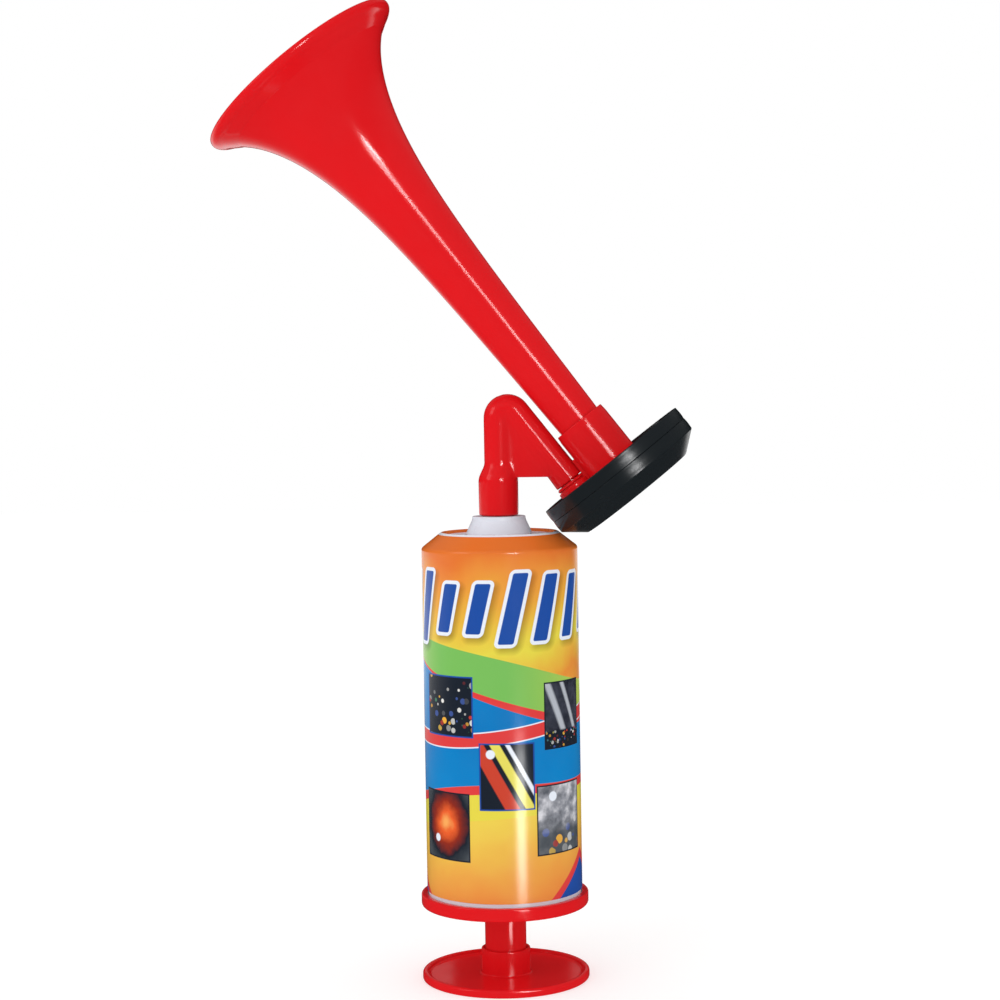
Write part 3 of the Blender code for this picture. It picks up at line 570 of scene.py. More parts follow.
def bent_skin(bm, upright, slanted):
    """Rings of one skin of the gooseneck. Lines on the inside of the tight bend meet in a mitre."""
    turn = pi - TILT
    tangent = BEND_RADIUS * tan(turn / 2.0)
    centre = elbow + Vector((BEND_RADIUS, 0.0, -tangent))
    angles = [tau * index / SLIM_SEGMENTS for index in range(SLIM_SEGMENTS)]
    rings = []
    for height, radius, shift in upright:
        rings.append([Vector((radius * cos(a) + shift, radius * sin(a), height)) for a in angles])
    radius = upright[-1][1]
    for step in range(BEND_STEPS + 1):
        swing = turn * step / BEND_STEPS
        ring = []
        for a in angles:
            inward = radius * cos(a)
            reach = BEND_RADIUS - inward
            if reach > 0.0:
                place = centre + Vector((-cos(swing), 0.0, sin(swing))) * reach
            else:
                place = elbow + Vector((inward, 0.0, -tangent * inward / BEND_RADIUS))
            ring.append(place + Vector((0.0, radius * sin(a), 0.0)))
        rings.append(ring)
    for distance, radius in slanted:
        middle = elbow + distance * along_leg
        sides = [(away_from_can * (radius * cos(a)), Vector((0.0, radius * sin(a), 0.0))) for a in angles]
        rings.append([middle - out + across for out, across in sides])
    return [[bm.verts.new(place) for place in ring] for ring in rings]


def crotch_share(point):
    """How much a point of the gooseneck is blended: most in the crotch, a little on the stem's taper."""
    place = Vector(point) - swivel_place.translation
    beside_stem = (place.x - ELBOW_SHIFT - CROTCH_START) / CROTCH_FADE
    beside_leg = (-(place - elbow).dot(away_from_can) - CROTCH_START) / CROTCH_FADE
    above_edge = (place.z - WEB_LIFT - CROTCH_LIFT) / CROTCH_FADE
    on_taper = 1.0 - abs(place.z - STEM_HEIGHT - STEM_TAPER / 2.0) / TAPER_REACH
    on_taper = min(on_taper, TAPER_SHARE) if place.x < STEM_RADIUS else 0.0
    return max(0.0, min(1.0, beside_stem, beside_leg, above_edge), on_taper)


def smoothed(body, rounds, group=""):
    """Smooths the body's mesh, or as much of it as the vertex group says."""
    change = body.modifiers.new("smooth", "SMOOTH")
    change.vertex_group = group
    change.factor = SMOOTH_FACTOR
    change.iterations = rounds
    baked(body)


def gooseneck(material):
    """Hollow elbow with a web between its legs, all edges softened as moulded plastic is."""
    groove_low = -(SPIGOT_GROOVE_DROP + SPIGOT_GROOVE + FIT_GAP)
    groove_radius = SPIGOT_RADIUS - SPIGOT_GROOVE
    inner_crease = PIPE_RADIUS / tan(TILT / 2.0)
    top_height = STEM_HEIGHT + STEM_TAPER
    bm = bmesh.new()
    outer = bent_skin(bm, [
        (-SPIGOT_LENGTH, SPIGOT_RADIUS - EASED, 0.0),
        (-SPIGOT_LENGTH + BROKEN, SPIGOT_RADIUS, 0.0),
        (groove_low, SPIGOT_RADIUS, 0.0),
        (groove_low, groove_radius, 0.0),
        (-SPIGOT_GROOVE_DROP, groove_radius, 0.0),
        (-SPIGOT_GROOVE_DROP, SPIGOT_RADIUS, 0.0),
        (SEAT_GAP, SPIGOT_RADIUS, 0.0),
        (SEAT_GAP, STEM_RADIUS - CRISP, 0.0),
        (SEAT_GAP + CRISP, STEM_RADIUS, 0.0),
        (STEM_HEIGHT, STEM_RADIUS, 0.0),
        (top_height, PIPE_RADIUS, ELBOW_SHIFT),
    ], [
        (inner_crease + CREASE_STEP, PIPE_RADIUS),
        (LEG_LENGTH - LEG_FLARE, PIPE_RADIUS),
        (LEG_LENGTH - CRISP, LEG_END_RADIUS),
        (LEG_LENGTH, LEG_END_RADIUS - CRISP),
    ])
    inner = bent_skin(bm, [
        (-SPIGOT_LENGTH, PIPE_BORE_RADIUS, 0.0),
        (STEM_HEIGHT, PIPE_BORE_RADIUS, 0.0),
        (top_height, PIPE_BORE_RADIUS, ELBOW_SHIFT),
    ], [(LEG_LENGTH, PIPE_BORE_RADIUS)])
    for skin in (outer, inner):
        for first, second in zip(skin, skin[1:]):
            join_rings(bm, first, second)
    join_rings(bm, outer[0], inner[0])
    join_rings(bm, outer[-1], inner[-1])
    bmesh.ops.remove_doubles(bm, verts=bm.verts, dist=MERGE_DISTANCE)
    bmesh.ops.transform(bm, matrix=swivel_place, verts=bm.verts)
    body = object_of(bm, "gooseneck")

    sunk = (PIPE_RADIUS + PIPE_BORE_RADIUS) / 2.0 - WEB_INSET
    top = ELBOW_RISE - sunk / tan(TILT / 2.0)
    down = (ELBOW_RISE - WEB_LIFT - sunk * sin(TILT)) / cos(TILT)
    foot = elbow + down * along_leg - sunk * away_from_can
    side = ELBOW_SHIFT + sunk
    corners = [(side, WEB_LIFT), (side, top), (foot.x, foot.z)]
    combined(body, box_plate("web", corners, WEB_THICKNESS, swivel_place))

    low, high = LEG_STANDOFF - SEAT_GAP, LEG_STANDOFF + INLET_SPIGOT_LENGTH + SEAT_GAP
    drilled(body, INLET_SPIGOT_RADIUS + FIT_GAP, low, high, inlet_place)

    melt = body.modifiers.new("melt", "REMESH")
    melt.mode = "VOXEL"
    melt.voxel_size = REMESH_SIZE
    smoothed(body, MELT_ROUNDS)
    group = body.vertex_groups.new(name="blend")
    for vertex in body.data.vertices:
        weight = crotch_share(vertex.co)
        if weight > 0.0:
            group.add([vertex.index], weight, "REPLACE")
    smoothed(body, CROTCH_ROUNDS, group.name)
    body.vertex_groups.clear()
    finished(body, "gooseneck_moulding", "gooseneck", "horn", material, MELTED_ANGLE)


def housing(material):
    """Red housing: a collar for the bell, an air chamber round the nozzle, and the inlet."""
    tail_fit = THROAT_RADIUS + FIT_GAP
    nozzle = NOZZLE_BORE_RADIUS + NOZZLE_WALL
    outline = rounded([
        (tail_fit, COLLAR_HEIGHT, CRISP / 2.0),
        (COLLAR_RADIUS - COLLAR_LEAD_DEPTH, COLLAR_HEIGHT, CRISP),
        (COLLAR_RADIUS, COLLAR_HEIGHT - COLLAR_LEAD, CRISP),
        (COLLAR_RADIUS, PLATE_Z, BROKEN),
        (HOUSING_RADIUS, PLATE_Z),
        (HOUSING_RADIUS, WALL_END_Z),
        (HOUSING_RADIUS - HOUSING_WALL, WALL_END_Z),
        (HOUSING_RADIUS - HOUSING_WALL, PLATE_BACK_Z),
        (nozzle, PLATE_BACK_Z),
        (nozzle, NOZZLE_END_Z),
        (NOZZLE_BORE_RADIUS, NOZZLE_END_Z),
        (NOZZLE_BORE_RADIUS, TAIL_END - SEAT_GAP),
        (tail_fit, TAIL_END - SEAT_GAP),
    ])
    body = lathe("housing", outline, WIDE_SEGMENTS, horn_place)

    stub_top = LEG_STANDOFF - SEAT_GAP
    flange_end = INLET_FLANGE_TOP + INLET_RIDGE
    ridge = (flange_end + stub_top) / 2.0
    root = PLATE_BACK_Z + INLET_ROOT
    inlet = rounded([
        (INLET_RADIUS, flange_end, CRISP),
        (INLET_FLANGE_RADIUS, INLET_FLANGE_TOP, CRISP),
        (INLET_FLANGE_RADIUS, root),
    ], closed=False)[::-1]
    inlet.insert(0, (0.0, root))
    for part in range(-RIDGE_STEPS, RIDGE_STEPS + 1):
        swell = cos(part / RIDGE_STEPS * pi / 2.0)
        height = ridge + INLET_RIDGE * RIDGE_SPREAD * part / RIDGE_STEPS
        inlet.append((INLET_RADIUS + INLET_RIDGE * swell, height))
    inlet += [
        (INLET_RADIUS, stub_top),
        (INLET_SPIGOT_RADIUS, stub_top),
        (INLET_SPIGOT_RADIUS, LEG_STANDOFF + INLET_SPIGOT_LENGTH),
        (0.0, LEG_STANDOFF + INLET_SPIGOT_LENGTH),
    ]
    combined(body, lathe("inlet", inlet, SLIM_SEGMENTS, inlet_place))

    inside_collar = (COLLAR_RADIUS + tail_fit) / 2.0
    inside_inlet = LEG_OFFSET - (INLET_RADIUS + INLET_BORE_RADIUS) / 2.0
    rib = box_plate("rib", [
        (-inside_collar, RIB_HEIGHT),
        (-inside_inlet, RIB_HEIGHT),
        (-inside_inlet, PLATE_Z - PLATE_THICKNESS / 2.0),
        (-inside_collar, PLATE_Z - PLATE_THICKNESS / 2.0),
    ], RIB_THICKNESS, horn_place)
    drilled(rib, LEG_END_RADIUS + FIT_GAP, stub_top - RIB_INSET, RIB_HEIGHT + LEG_STANDOFF, inlet_place)
    combined(body, rib)

    low, high = PLATE_BACK_Z - INLET_ROOT, LEG_STANDOFF + INLET_SPIGOT_LENGTH + INLET_ROOT
    drilled(body, INLET_BORE_RADIUS, low, high, inlet_place)
    finished(body, "housing_moulding", "horn_housing", "horn", material)


def bell_radius(depth):
    """Outer radius of the bell at a depth below its mouth."""
    taper = THROAT_RADIUS + BELL_TAPER * (BELL_LENGTH - depth)
    wide = WIDE_FLARE * exp(-depth / WIDE_FLARE_REACH)
    lip = LIP_FLARE * exp(-depth / LIP_FLARE_REACH)
    return taper + wide + lip


def bell(material):
    """Flared bell with a soft bead round its mouth and a straight tail in the collar."""
    depths = []
    for index in range(BELL_STATIONS):
        share = index / (BELL_STATIONS - 1)
        depths.append(FLARE_START + (BELL_LENGTH - FLARE_START) * share ** BELL_CROWDING)
    flare = [(bell_radius(depth), MOUTH_Z - depth) for depth in depths]
    inner_flare = shifted(flare, BELL_WALL)
    lip = [(radius, MOUTH_Z + height) for radius, height in BEAD]
    # The second point of each flare makes the bead run smoothly into it
    bead = curved(inner_flare[1::-1] + lip + flare[:2], BEAD_STEPS)
    tail = [
        (THROAT_RADIUS, COLLAR_HEIGHT),
        (THROAT_RADIUS, (COLLAR_HEIGHT + TAIL_END) / 2.0),
        (THROAT_RADIUS, TAIL_END),
        (THROAT_RADIUS - BELL_WALL, TAIL_END),
    ]
    outline = bead + flare[:-1] + tail + inner_flare[:0:-1]
    turned("bell_moulding", "horn_bell", "horn", material, outline, place=horn_place)


def crowned(low, high, radius):
    """Points up a side that bulges a little between its ends."""
    points = []
    for step in range(SIDE_STEPS + 1):
        share = step / SIDE_STEPS
        bulge = SIDE_CROWN * (1.0 - (2.0 * share - 1.0) ** 2)
        points.append((radius - SIDE_CROWN + bulge, low + (high - low) * share))
    return points


def front_ring(material):
    """Black ring over the housing's front edge, open in the middle."""
    outline = rounded([
        (RING_WINDOW_RADIUS, 0.0, EASED),
        (RING_WINDOW_RADIUS, -RING_FACE),
        (RING_SKIRT_INSIDE, -RING_FACE),
        (RING_SKIRT_INSIDE, -RING_SKIRT),
        (RING_RADIUS - SIDE_CROWN, -RING_SKIRT, CRISP / 2.0),
        *crowned(-RING_SKIRT + CRISP, -SOFT, RING_RADIUS),
        (RING_RADIUS - SIDE_CROWN, 0.0, EASED),
    ])
    turned("front_ring_moulding", "housing_front_ring", "horn", material, outline, place=horn_place)


def diaphragm_cap(material):
    """Black cap with a chamfered back. Its tongue fits inside the front ring's skirt."""
    ceiling = CAP_BACK_Z + CAP_BACK_THICKNESS
    outline = rounded([
        (0.0, ceiling),
        (CAP_BACK_RADIUS - CAP_BACK_THICKNESS, ceiling, ROUND),
        (CAP_LEDGE_RADIUS, CAP_SEAT_Z - CAP_LEDGE),
        (CAP_LEDGE_RADIUS, CAP_SEAT_Z),
        (CAP_TONGUE_INSIDE, CAP_SEAT_Z),
        (CAP_TONGUE_INSIDE, CAP_TOP_Z + CAP_TONGUE),
        (CAP_TONGUE_OUTSIDE, CAP_TOP_Z + CAP_TONGUE, EASED),
        (CAP_TONGUE_OUTSIDE, CAP_TOP_Z),
        (RING_RADIUS - SIDE_CROWN, CAP_TOP_Z, CRISP / 2.0),
        *crowned(CAP_TOP_Z - CRISP, CAP_SIDE_END_Z + SOFT, RING_RADIUS),
        (RING_RADIUS - SIDE_CROWN, CAP_SIDE_END_Z, SOFT),
        (CAP_BACK_RADIUS, CAP_BACK_Z, SOFT),
        (0.0, CAP_BACK_Z),
    ], closed=False)
    turned("diaphragm_cap_moulding", "diaphragm_cap", "horn", material, outline, place=horn_place)


# Materials

PRINT_BLUR = 0.15
RIM_BLUR = 0.0001
DRIFT_SCALE = 45.0
DRIFT_SHADE = 0.955
SMEAR_SCALE = 140.0
SMEAR_SHARE = 0.7
LEAST_ROUGHNESS = 0.65
SWELL_SCALE = 70.0
SWELL_SHARE = 6.0
BUMP_REACH = 0.00001


def shown(*channels):
    """The linear colour that a screen shows as these 8-bit values."""
    return tuple(v / 255.0 / 12.92 if v <= 10 else ((v / 255.0 + 0.055) / 1.055) ** 2.4 for v in channels)


class Field:
    """A number that varies over a surface. Arithmetic on it adds math nodes to the material."""

    def __init__(self, tree, socket):
        self.tree = tree
        self.socket = socket

    def calc(self, kind, *others, clamp=False):
        step = self.tree.nodes.new("ShaderNodeMath")
        step.operation = kind
        step.use_clamp = clamp
        for slot, value in zip(step.inputs, (self, *others)):
            feed(self.tree, slot, value)
        return Field(self.tree, step.outputs[0])

    def __add__(self, other):
        return self.calc("ADD", other)

    def __sub__(self, other):
        return self.calc("SUBTRACT", other)

    def __mul__(self, other):
        return self.calc("MULTIPLY", other)

    def size(self):
        return self.calc("ABSOLUTE")

    def wave(self, turns, start=0.0):
        """Sine of the angle times turns, in radians."""
        return self.calc("MULTIPLY_ADD", turns, start).calc("SINE")

    def rise(self, edge, soft=PRINT_BLUR):
        """0 below the edge and 1 above it, with a ramp of width soft between."""
        if isinstance(edge, Field):
            return (self - edge).calc("MULTIPLY_ADD", 1.0 / soft, 0.5, clamp=True)
        return self.calc("MULTIPLY_ADD", 1.0 / soft, 0.5 - edge / soft, clamp=True)

    def below(self, edge, soft=PRINT_BLUR):
        """1 below the edge and 0 above it."""
        return (self * -1.0).rise(edge * -1.0, soft)

    def between(self, low, high, soft=PRINT_BLUR):
        """1 from low to high and 0 outside."""
        return self.rise(low, soft) * self.below(high, soft)

    def near(self, middle, half, soft=PRINT_BLUR):
        """1 within half of the middle and 0 further away."""
        return (self - middle).size().below(half, soft)


def length(x, y):
    """The length of a flat vector."""
    return (x * x + y * y).calc("SQRT")


def feed(tree, slot, value):
    """Sets a node's input to a number or colour, or links a field or an output to it."""
    if isinstance(value, Field):
        value = value.socket
    if isinstance(value, bpy.types.NodeSocket):
        tree.links.new(value, slot)
    else:
        slot.default_value = (*value, 1.0) if isinstance(value, tuple) else value


def add(tree, kind, **inputs):
    """The outputs of a new node with these inputs."""
    made = tree.nodes.new("ShaderNode" + kind)
    for name, value in inputs.items():
        feed(tree, made.inputs[name], value)
    return made.outputs


def split(tree, vector):
    """The three parts of a vector, as fields."""
    return [Field(tree, part) for part in add(tree, "SeparateXYZ", Vector=vector)]


def mixed(tree, chance, under, over):
    """The shader over where chance is 1, and the shader under where it is 0."""
    made = tree.nodes.new("ShaderNodeMixShader")
    for slot, value in zip(made.inputs, (chance, under, over)):
        feed(tree, slot, value)
    return made.outputs[0]


class Shader:
    """A material under construction, with its Principled shader."""

    def __init__(self, name, roughness, gloss):
        self.made = bpy.data.materials.new(name)
        self.made.use_nodes = True
        self.tree = self.made.node_tree
        self.surface = self.tree.nodes["Principled BSDF"]
        self.give("Roughness", roughness)
        self.give("Specular IOR Level", gloss)
        self.place = add(self.tree, "TexCoord")["Object"]

    def give(self, name, value):
        """Feeds an input of the Principled shader."""
        feed(self.tree, self.surface.inputs[name], value)

    def noise(self, scale, detail=2.0):
        """Cloudy noise, with the scale in clouds to the metre."""
        made = add(self.tree, "TexNoise", Vector=self.place, Scale=scale, Detail=detail)
        return Field(self.tree, made["Fac"])

    def ramp(self, value, stops):
        """Colours along a value from 0 to 1, given as (position, colour)."""
        made = self.tree.nodes.new("ShaderNodeValToRGB")
        elements = made.color_ramp.elements
        while len(elements) < len(stops):
            elements.new(0.5)
        for element, (position, colour) in zip(elements, stops):
            element.position = position
            element.color = (*colour, 1.0)
        feed(self.tree, made.inputs[0], value)
        return made.outputs[0]

    def layer(self, under, over, mask, blend="MIX"):
        """The colour under with the colour over on it where the mask is 1."""
        made = self.tree.nodes.new("ShaderNodeMix")
        made.data_type = "RGBA"
        made.blend_type = blend
        for slot, value in (("Factor", mask), (6, under), (7, over)):
            feed(self.tree, made.inputs[slot], value)
        return made.outputs[2]

    def bump(self, height, strength, distance):
        made = add(self.tree, "Bump", Strength=strength, Distance=distance, Height=height)
        self.give("Normal", made[0])


def plastic(name, colour, roughness, gloss, grain_scale, grain, rim=None):
    """Moulded plastic: a faint drift in colour, uneven gloss and a fine grain. It may have a printed rim."""
    shader = Shader(name, roughness, gloss)
    darker = tuple(value * DRIFT_SHADE for value in colour)
    paint = shader.layer(darker, colour, shader.noise(DRIFT_SCALE, 3.0).rise(0.5, 0.5))
    if rim:
        x, y, z = split(shader.tree, shader.place)
        on_rim = length(x, y).between(CROWN_PRINT_START, CROWN_PRINT_END, RIM_BLUR)
        paint = shader.layer(paint, rim, on_rim * z.rise(CROWN_FLOOR_Z - CRISP, RIM_BLUR))
    shader.give("Base Color", paint)
    smears = shader.noise(SMEAR_SCALE, 4.0)
    shader.give("Roughness", smears * (roughness * SMEAR_SHARE) + roughness * LEAST_ROUGHNESS)
    swell = shader.noise(SWELL_SCALE, 1.0)
    shader.bump(swell * SWELL_SHARE + shader.noise(grain_scale), grain, BUMP_REACH)
    return shader.made


def rubber(name):
    """Matt black rubber with a dusty bloom."""
    shader = Shader(name, 0.55, 0.3)
    bloom = shader.noise(400.0, 4.0)
    dust = [(0.35, (0.010, 0.010, 0.010)), (0.75, (0.024, 0.024, 0.025))]
    shader.give("Base Color", shader.ramp(bloom, dust))
    shader.give("Roughness", bloom * 0.3 + 0.45)
    shader.bump(shader.noise(2500.0), 0.3, 0.00002)
    return shader.made


def film(name):
    """Thin greyish film, slightly rippled."""
    shader = Shader(name, 0.25, 0.5)
    ripple = shader.noise(120.0)
    greys = [(0.3, (0.56, 0.58, 0.60)), (0.7, (0.66, 0.68, 0.70))]
    shader.give("Base Color", shader.ramp(ripple, greys))
    shader.give("Roughness", ripple * 0.15 + 0.18)
    shader.bump(ripple, 0.2, 0.0001)
    return shader.made


# Printed sleeve. Its artwork is laid out in millimetres: x round the can from its front, y up it

LABEL_ROUND = 163.36
LABEL_UP = 1000.0 * LABEL_HEIGHT
HALF_ROUND = LABEL_ROUND / 2.0
FRONT_TURN = 0.75
BARS = 14
BAR_LEAN = 0.24
BAR_MIDDLE = 96.0
BAR_HALF_WIDTH = 1.9
BAR_HALF_HEIGHT = 9.9
BAR_CORNER = 0.7
BAR_BORDER = 1.15
SEAM_WIDTH = 0.25
TOP_LINE = 121.6

ORANGE = shown(231, 118, 44)
AMBER = shown(236, 146, 56)
GOLD = shown(234, 184, 62)
YELLOW = shown(232, 217, 72)
LIME = shown(203, 217, 84)
GREEN = shown(122, 192, 92)
SKY = shown(0, 133, 203)
DEEP_SKY = shown(0, 118, 190)
SCARLET = shown(226, 62, 62)
ROYAL = shown(27, 78, 166)
INK = shown(28, 36, 48)
SLATE = shown(72, 78, 84)
PALE = shown(234, 240, 250)
DOTS = [
    shown(214, 62, 44), INK, shown(236, 236, 232), INK, shown(242, 178, 60), shown(70, 130, 80),
    shown(60, 84, 150),
]


def bars_distance(x, y):
    """Distance from a row of leaning bars of changing height, negative inside them."""
    pitch = LABEL_ROUND / BARS
    turn = tau / BARS
    along = (x - (y - BAR_MIDDLE) * BAR_LEAN) * (1.0 / pitch)
    number = along.calc("FLOOR")
    across = ((along - number - 0.5) * pitch).size()
    half = number.wave(3.0 * turn, 0.4) * 1.8 + number.wave(5.0 * turn, 2.0) + BAR_HALF_HEIGHT
    beside = (across - BAR_HALF_WIDTH).calc("MAXIMUM", 0.0)
    above = ((y - BAR_MIDDLE).size() - half + BAR_CORNER).calc("MAXIMUM", 0.0)
    return length(beside, above) - BAR_CORNER


def disc(across, up, radius):
    """1 inside a disc and 0 outside, from the offsets to its middle."""
    return length(across, up).below(radius, 2.0 * PRINT_BLUR)


class Label(Shader):
    """The printed film's material. Each method prints a part of the artwork over what is there."""

    def __init__(self, name):
        super().__init__(name, 0.2, 0.36)
        chart = self.tree.nodes.new("ShaderNodeUVMap")
        chart.uv_map = "label"
        across, up = split(self.tree, chart.outputs[0])[:2]
        self.x = ((across - FRONT_TURN) * LABEL_ROUND).calc("WRAP", HALF_ROUND, -HALF_ROUND)
        self.y = up * LABEL_UP
        self.turn = self.x * (tau / LABEL_ROUND)
        self.grey = self.noise(260.0, 4.0)
        self.paint = None

    def over(self, colour, mask, blend="MIX"):
        """Prints the colour where the mask is 1."""
        self.paint = self.layer(self.paint, colour, mask, blend)

    def ground(self):
        """Warm sky between yellow and orange, with flame-like edges."""
        flames = self.noise(38.0, 3.0) - 0.5
        warm = self.y + flames * 26.0 + self.turn.wave(1.0, 2.4) * 4.0
        self.paint = self.ramp(warm * (1.0 / LABEL_UP), [
            (0.00, shown(236, 140, 62)), (0.09, shown(238, 166, 70)), (0.20, shown(240, 200, 78)),
            (0.30, shown(240, 214, 80)), (0.58, AMBER), (0.68, YELLOW), (0.78, GOLD), (0.90, AMBER),
            (0.96, ORANGE),
        ])

    def ribbons(self):
        """Green, red, blue and yellow ribbons that swing up and down round the can."""
        y, turn = self.y, self.turn
        green_top = turn.wave(1.0, 3.3) * 8.5 + turn.wave(2.0, 0.9) * 1.6 + 80.0
        green_low = green_top - (turn.wave(1.0, 1.2) * 4.5 + 9.0)
        red_low = green_low - (turn.wave(1.0, 0.4) * 1.3 + 1.7)
        leaf = self.layer(LIME, GREEN, turn.wave(1.0, 1.9).rise(0.25, 1.3))
        self.over(leaf, y.between(green_low, green_top))
        self.over(SCARLET, y.between(red_low, green_low))
        high_red = turn.wave(1.0, 4.2) * 11.0 + 103.0
        part_way = turn.wave(1.0, 4.9).rise(0.55, 0.08)
        self.over(SCARLET, y.between(high_red - 3.4, high_red) * part_way)

        blue_low = turn.wave(1.0, 0.5) * 3.4 + turn.wave(2.0, 2.6) * 1.5 + 36.5
        lower_red = blue_low - 3.0
        lower_lime = lower_red - (turn.wave(1.0, 2.1) * 3.0 + 5.5)
        blue = self.layer(DEEP_SKY, SKY, self.noise(30.0).rise(0.45, 0.3))
        self.over(blue, y.between(blue_low, red_low))
        self.over(SCARLET, y.between(lower_red, blue_low))
        self.over(YELLOW, y.between(lower_lime, lower_red))
        middle_red = turn.wave(1.0, 5.6) * 4.4 + 57.0
        self.over(PALE, y.near(middle_red, 2.5))
        self.over(SCARLET, y.near(middle_red, 2.1))

    def corners(self):
        """Blue peaks with a red edge at the can's foot."""
        peak = (self.x - 35.0).calc("PINGPONG", HALF_ROUND / 2.0) * -0.85 + 11.5
        self.over(SCARLET, (peak + 3.2).rise(self.y))
        self.over(ROYAL, peak.rise(self.y))

    def panel(self, middle, size, border, width, picture):
        """A picture in a border, shown twice round the can. It is drawn from the offsets to its middle."""
        across = (self.x - middle[0]).calc("WRAP", HALF_ROUND / 2.0, -HALF_ROUND / 2.0)
        up = self.y - middle[1]
        inward = (across.size() * -1.0 + size[0] / 2.0).calc("MINIMUM", up.size() * -1.0 + size[1] / 2.0)
        self.over(self.layer(border, picture(across, up), inward.rise(width)), inward.rise(0.0))

    def dots(self, across, up, scale=0.42, ground=INK):
        """Coloured dots scattered on a dark ground."""
        place = add(self.tree, "CombineXYZ", X=across, Y=up)[0]
        cells = add(self.tree, "TexVoronoi", Vector=place, Scale=scale)
        pick, spread = split(self.tree, cells["Color"])[:2]
        inside = (spread * 0.32 + 0.16).rise(Field(self.tree, cells["Distance"]), 0.06)
        paint = self.ramp(pick, [(index / len(DOTS), colour) for index, colour in enumerate(DOTS)])
        return self.layer(ground, paint, inside)

    def beams(self, across, up):
        """Two pale beams on grey over a band of dots."""
        lean = across + up * 0.45
        light = lean.near(-3.0, 1.3, 1.0).calc("MAXIMUM", lean.near(3.4, 0.9, 0.8))
        haze = self.ramp(self.grey, [(0.3, shown(30, 32, 44)), (0.8, shown(74, 78, 92))])
        picture = self.layer(haze, PALE, light * 0.55)
        return self.layer(picture, self.dots(across, up, 0.8), up.below(-5.0, 0.6))

    def stripes(self, across, up):
        """Red, yellow and white stripes with a white disc."""
        lean = across * 0.9 + up * 0.5
        picture = self.layer(INK, shown(206, 66, 44), lean.near(-3.8, 2.2, 0.4))
        picture = self.layer(picture, shown(232, 222, 96), lean.near(1.6, 1.5, 0.4))
        picture = self.layer(picture, PALE, lean.near(5.4, 0.7, 0.4))
        return self.layer(picture, PALE, disc(across + 5.4, up - 7.4, 1.5))

    def ember(self, across, up):
        """A glow in the dark with a white disc."""
        reach = (across - 1.0).calc("POWER", 2.0) + (up - 1.0).calc("POWER", 2.0) * 0.8
        glow = reach.calc("SQRT") * (1.0 / 13.0) + (self.noise(220.0, 3.0) - 0.5) * 0.35
        picture = self.ramp(glow, [
            (0.05, shown(250, 170, 90)), (0.25, shown(238, 96, 40)), (0.5, shown(150, 44, 26)), (0.75, INK),
            (1.0, SLATE),
        ])
        return self.layer(picture, PALE, disc(across + 3.4, up + 4.4, 1.3))

    def clouds(self, across, up):
        """Grey clouds with a white disc, and dots that fade in below."""
        sky = [(0.3, shown(92, 96, 104)), (0.5, shown(150, 152, 160)), (0.7, shown(222, 222, 228))]
        dots = self.dots(across, up, 0.3, SLATE)
        picture = self.layer(self.ramp(self.grey, sky), dots, up.below(-2.0, 5.0) * 0.9)
        return self.layer(picture, PALE, disc(across + 4.0, up - 7.6, 1.6))

    def bars(self):
        """A row of leaning blue bars with a pale border and a soft shadow."""
        shade = bars_distance(self.x - 1.0, self.y + 1.2).below(1.0, 3.2) * 0.62
        self.over(shown(96, 78, 40), shade, "MULTIPLY")
        distance = bars_distance(self.x, self.y)
        self.over(PALE, distance.below(BAR_BORDER, 0.2))
        self.over(ROYAL, distance.below(0.0, 0.2))

    def edges(self):
        """A pale line round the top, and a faint one down the seam at the back."""
        self.over(PALE, self.y.rise(TOP_LINE))
        self.over(PALE, self.x.size().rise(HALF_ROUND - SEAM_WIDTH, 0.1) * 0.7)


def printed(name):
    """Glossy printed film: warm sky, coloured ribbons, dark panels and a row of leaning bars."""
    label = Label(name)
    label.ground()
    label.ribbons()
    label.corners()
    label.panel((-18.5, 64.0), (21.0, 20.0), ROYAL, 0.5, label.dots)
    label.panel((25.0, 60.5), (18.0, 22.0), INK, 0.5, label.beams)
    label.panel((3.0, 41.5), (18.5, 22.0), ROYAL, 0.5, label.stripes)
    label.panel((-20.5, 24.5), (21.5, 22.5), INK, 0.45, label.ember)
    label.panel((23.0, 26.5), (20.5, 23.0), INK, 0.45, label.clouds)
    label.bars()
    label.edges()
    label.give("Base Color", label.paint)
    label.give("Roughness", label.noise(160.0, 3.0) * 0.12 + 0.14)
    label.bump(label.noise(55.0, 1.0) * 5.0 + label.noise(900.0), 0.12, BUMP_REACH)
    return label.made


RED = (0.775, 0.0092, 0.0132)
BLACK = (0.0100, 0.0138, 0.0165)
WHITE = (0.800, 0.845, 0.930)

red = plastic("red_plastic", RED, 0.13, 0.27, 900.0, 0.03)
black = plastic("black_plastic", BLACK, 0.24, 0.30, 2400.0, 0.015)
white = plastic("white_plastic", WHITE, 0.28, 0.30, 1200.0, 0.10)
can = plastic("can_plastic", WHITE, 0.28, 0.30, 1200.0, 0.10, ORANGE)
clamp = plastic("clamp_plastic", WHITE, 0.45, 0.30, 1500.0, 0.30)
seal = rubber("black_rubber")

handle(red)
rod(red)
bottom_cap(red)
barrel(can)
sleeve(printed("printed_film"))
neck(white)
gooseneck(red)
housing(red)
bell(red)
front_ring(black)
diaphragm_cap(black)

kept = {
    "piston_head": red,
    "piston_o_ring": seal,
    "neck_o_ring": seal,
    "diaphragm_gasket": seal,
    "diaphragm": film("diaphragm_film"),
    "clamp_ring": clamp,
}
for name, material in kept.items():
    for slot in frame["nodes"][name].material_slots:
        slot.material = material


# Camera, floor and light

CAMERA_PLACE = (0.0448, -0.7126, 0.195)
CAMERA_YAW = radians(3.56)
CAMERA_PITCH = radians(2.78)
CAMERA_ROLL = radians(-0.94)
CAMERA_LENS = 77.29

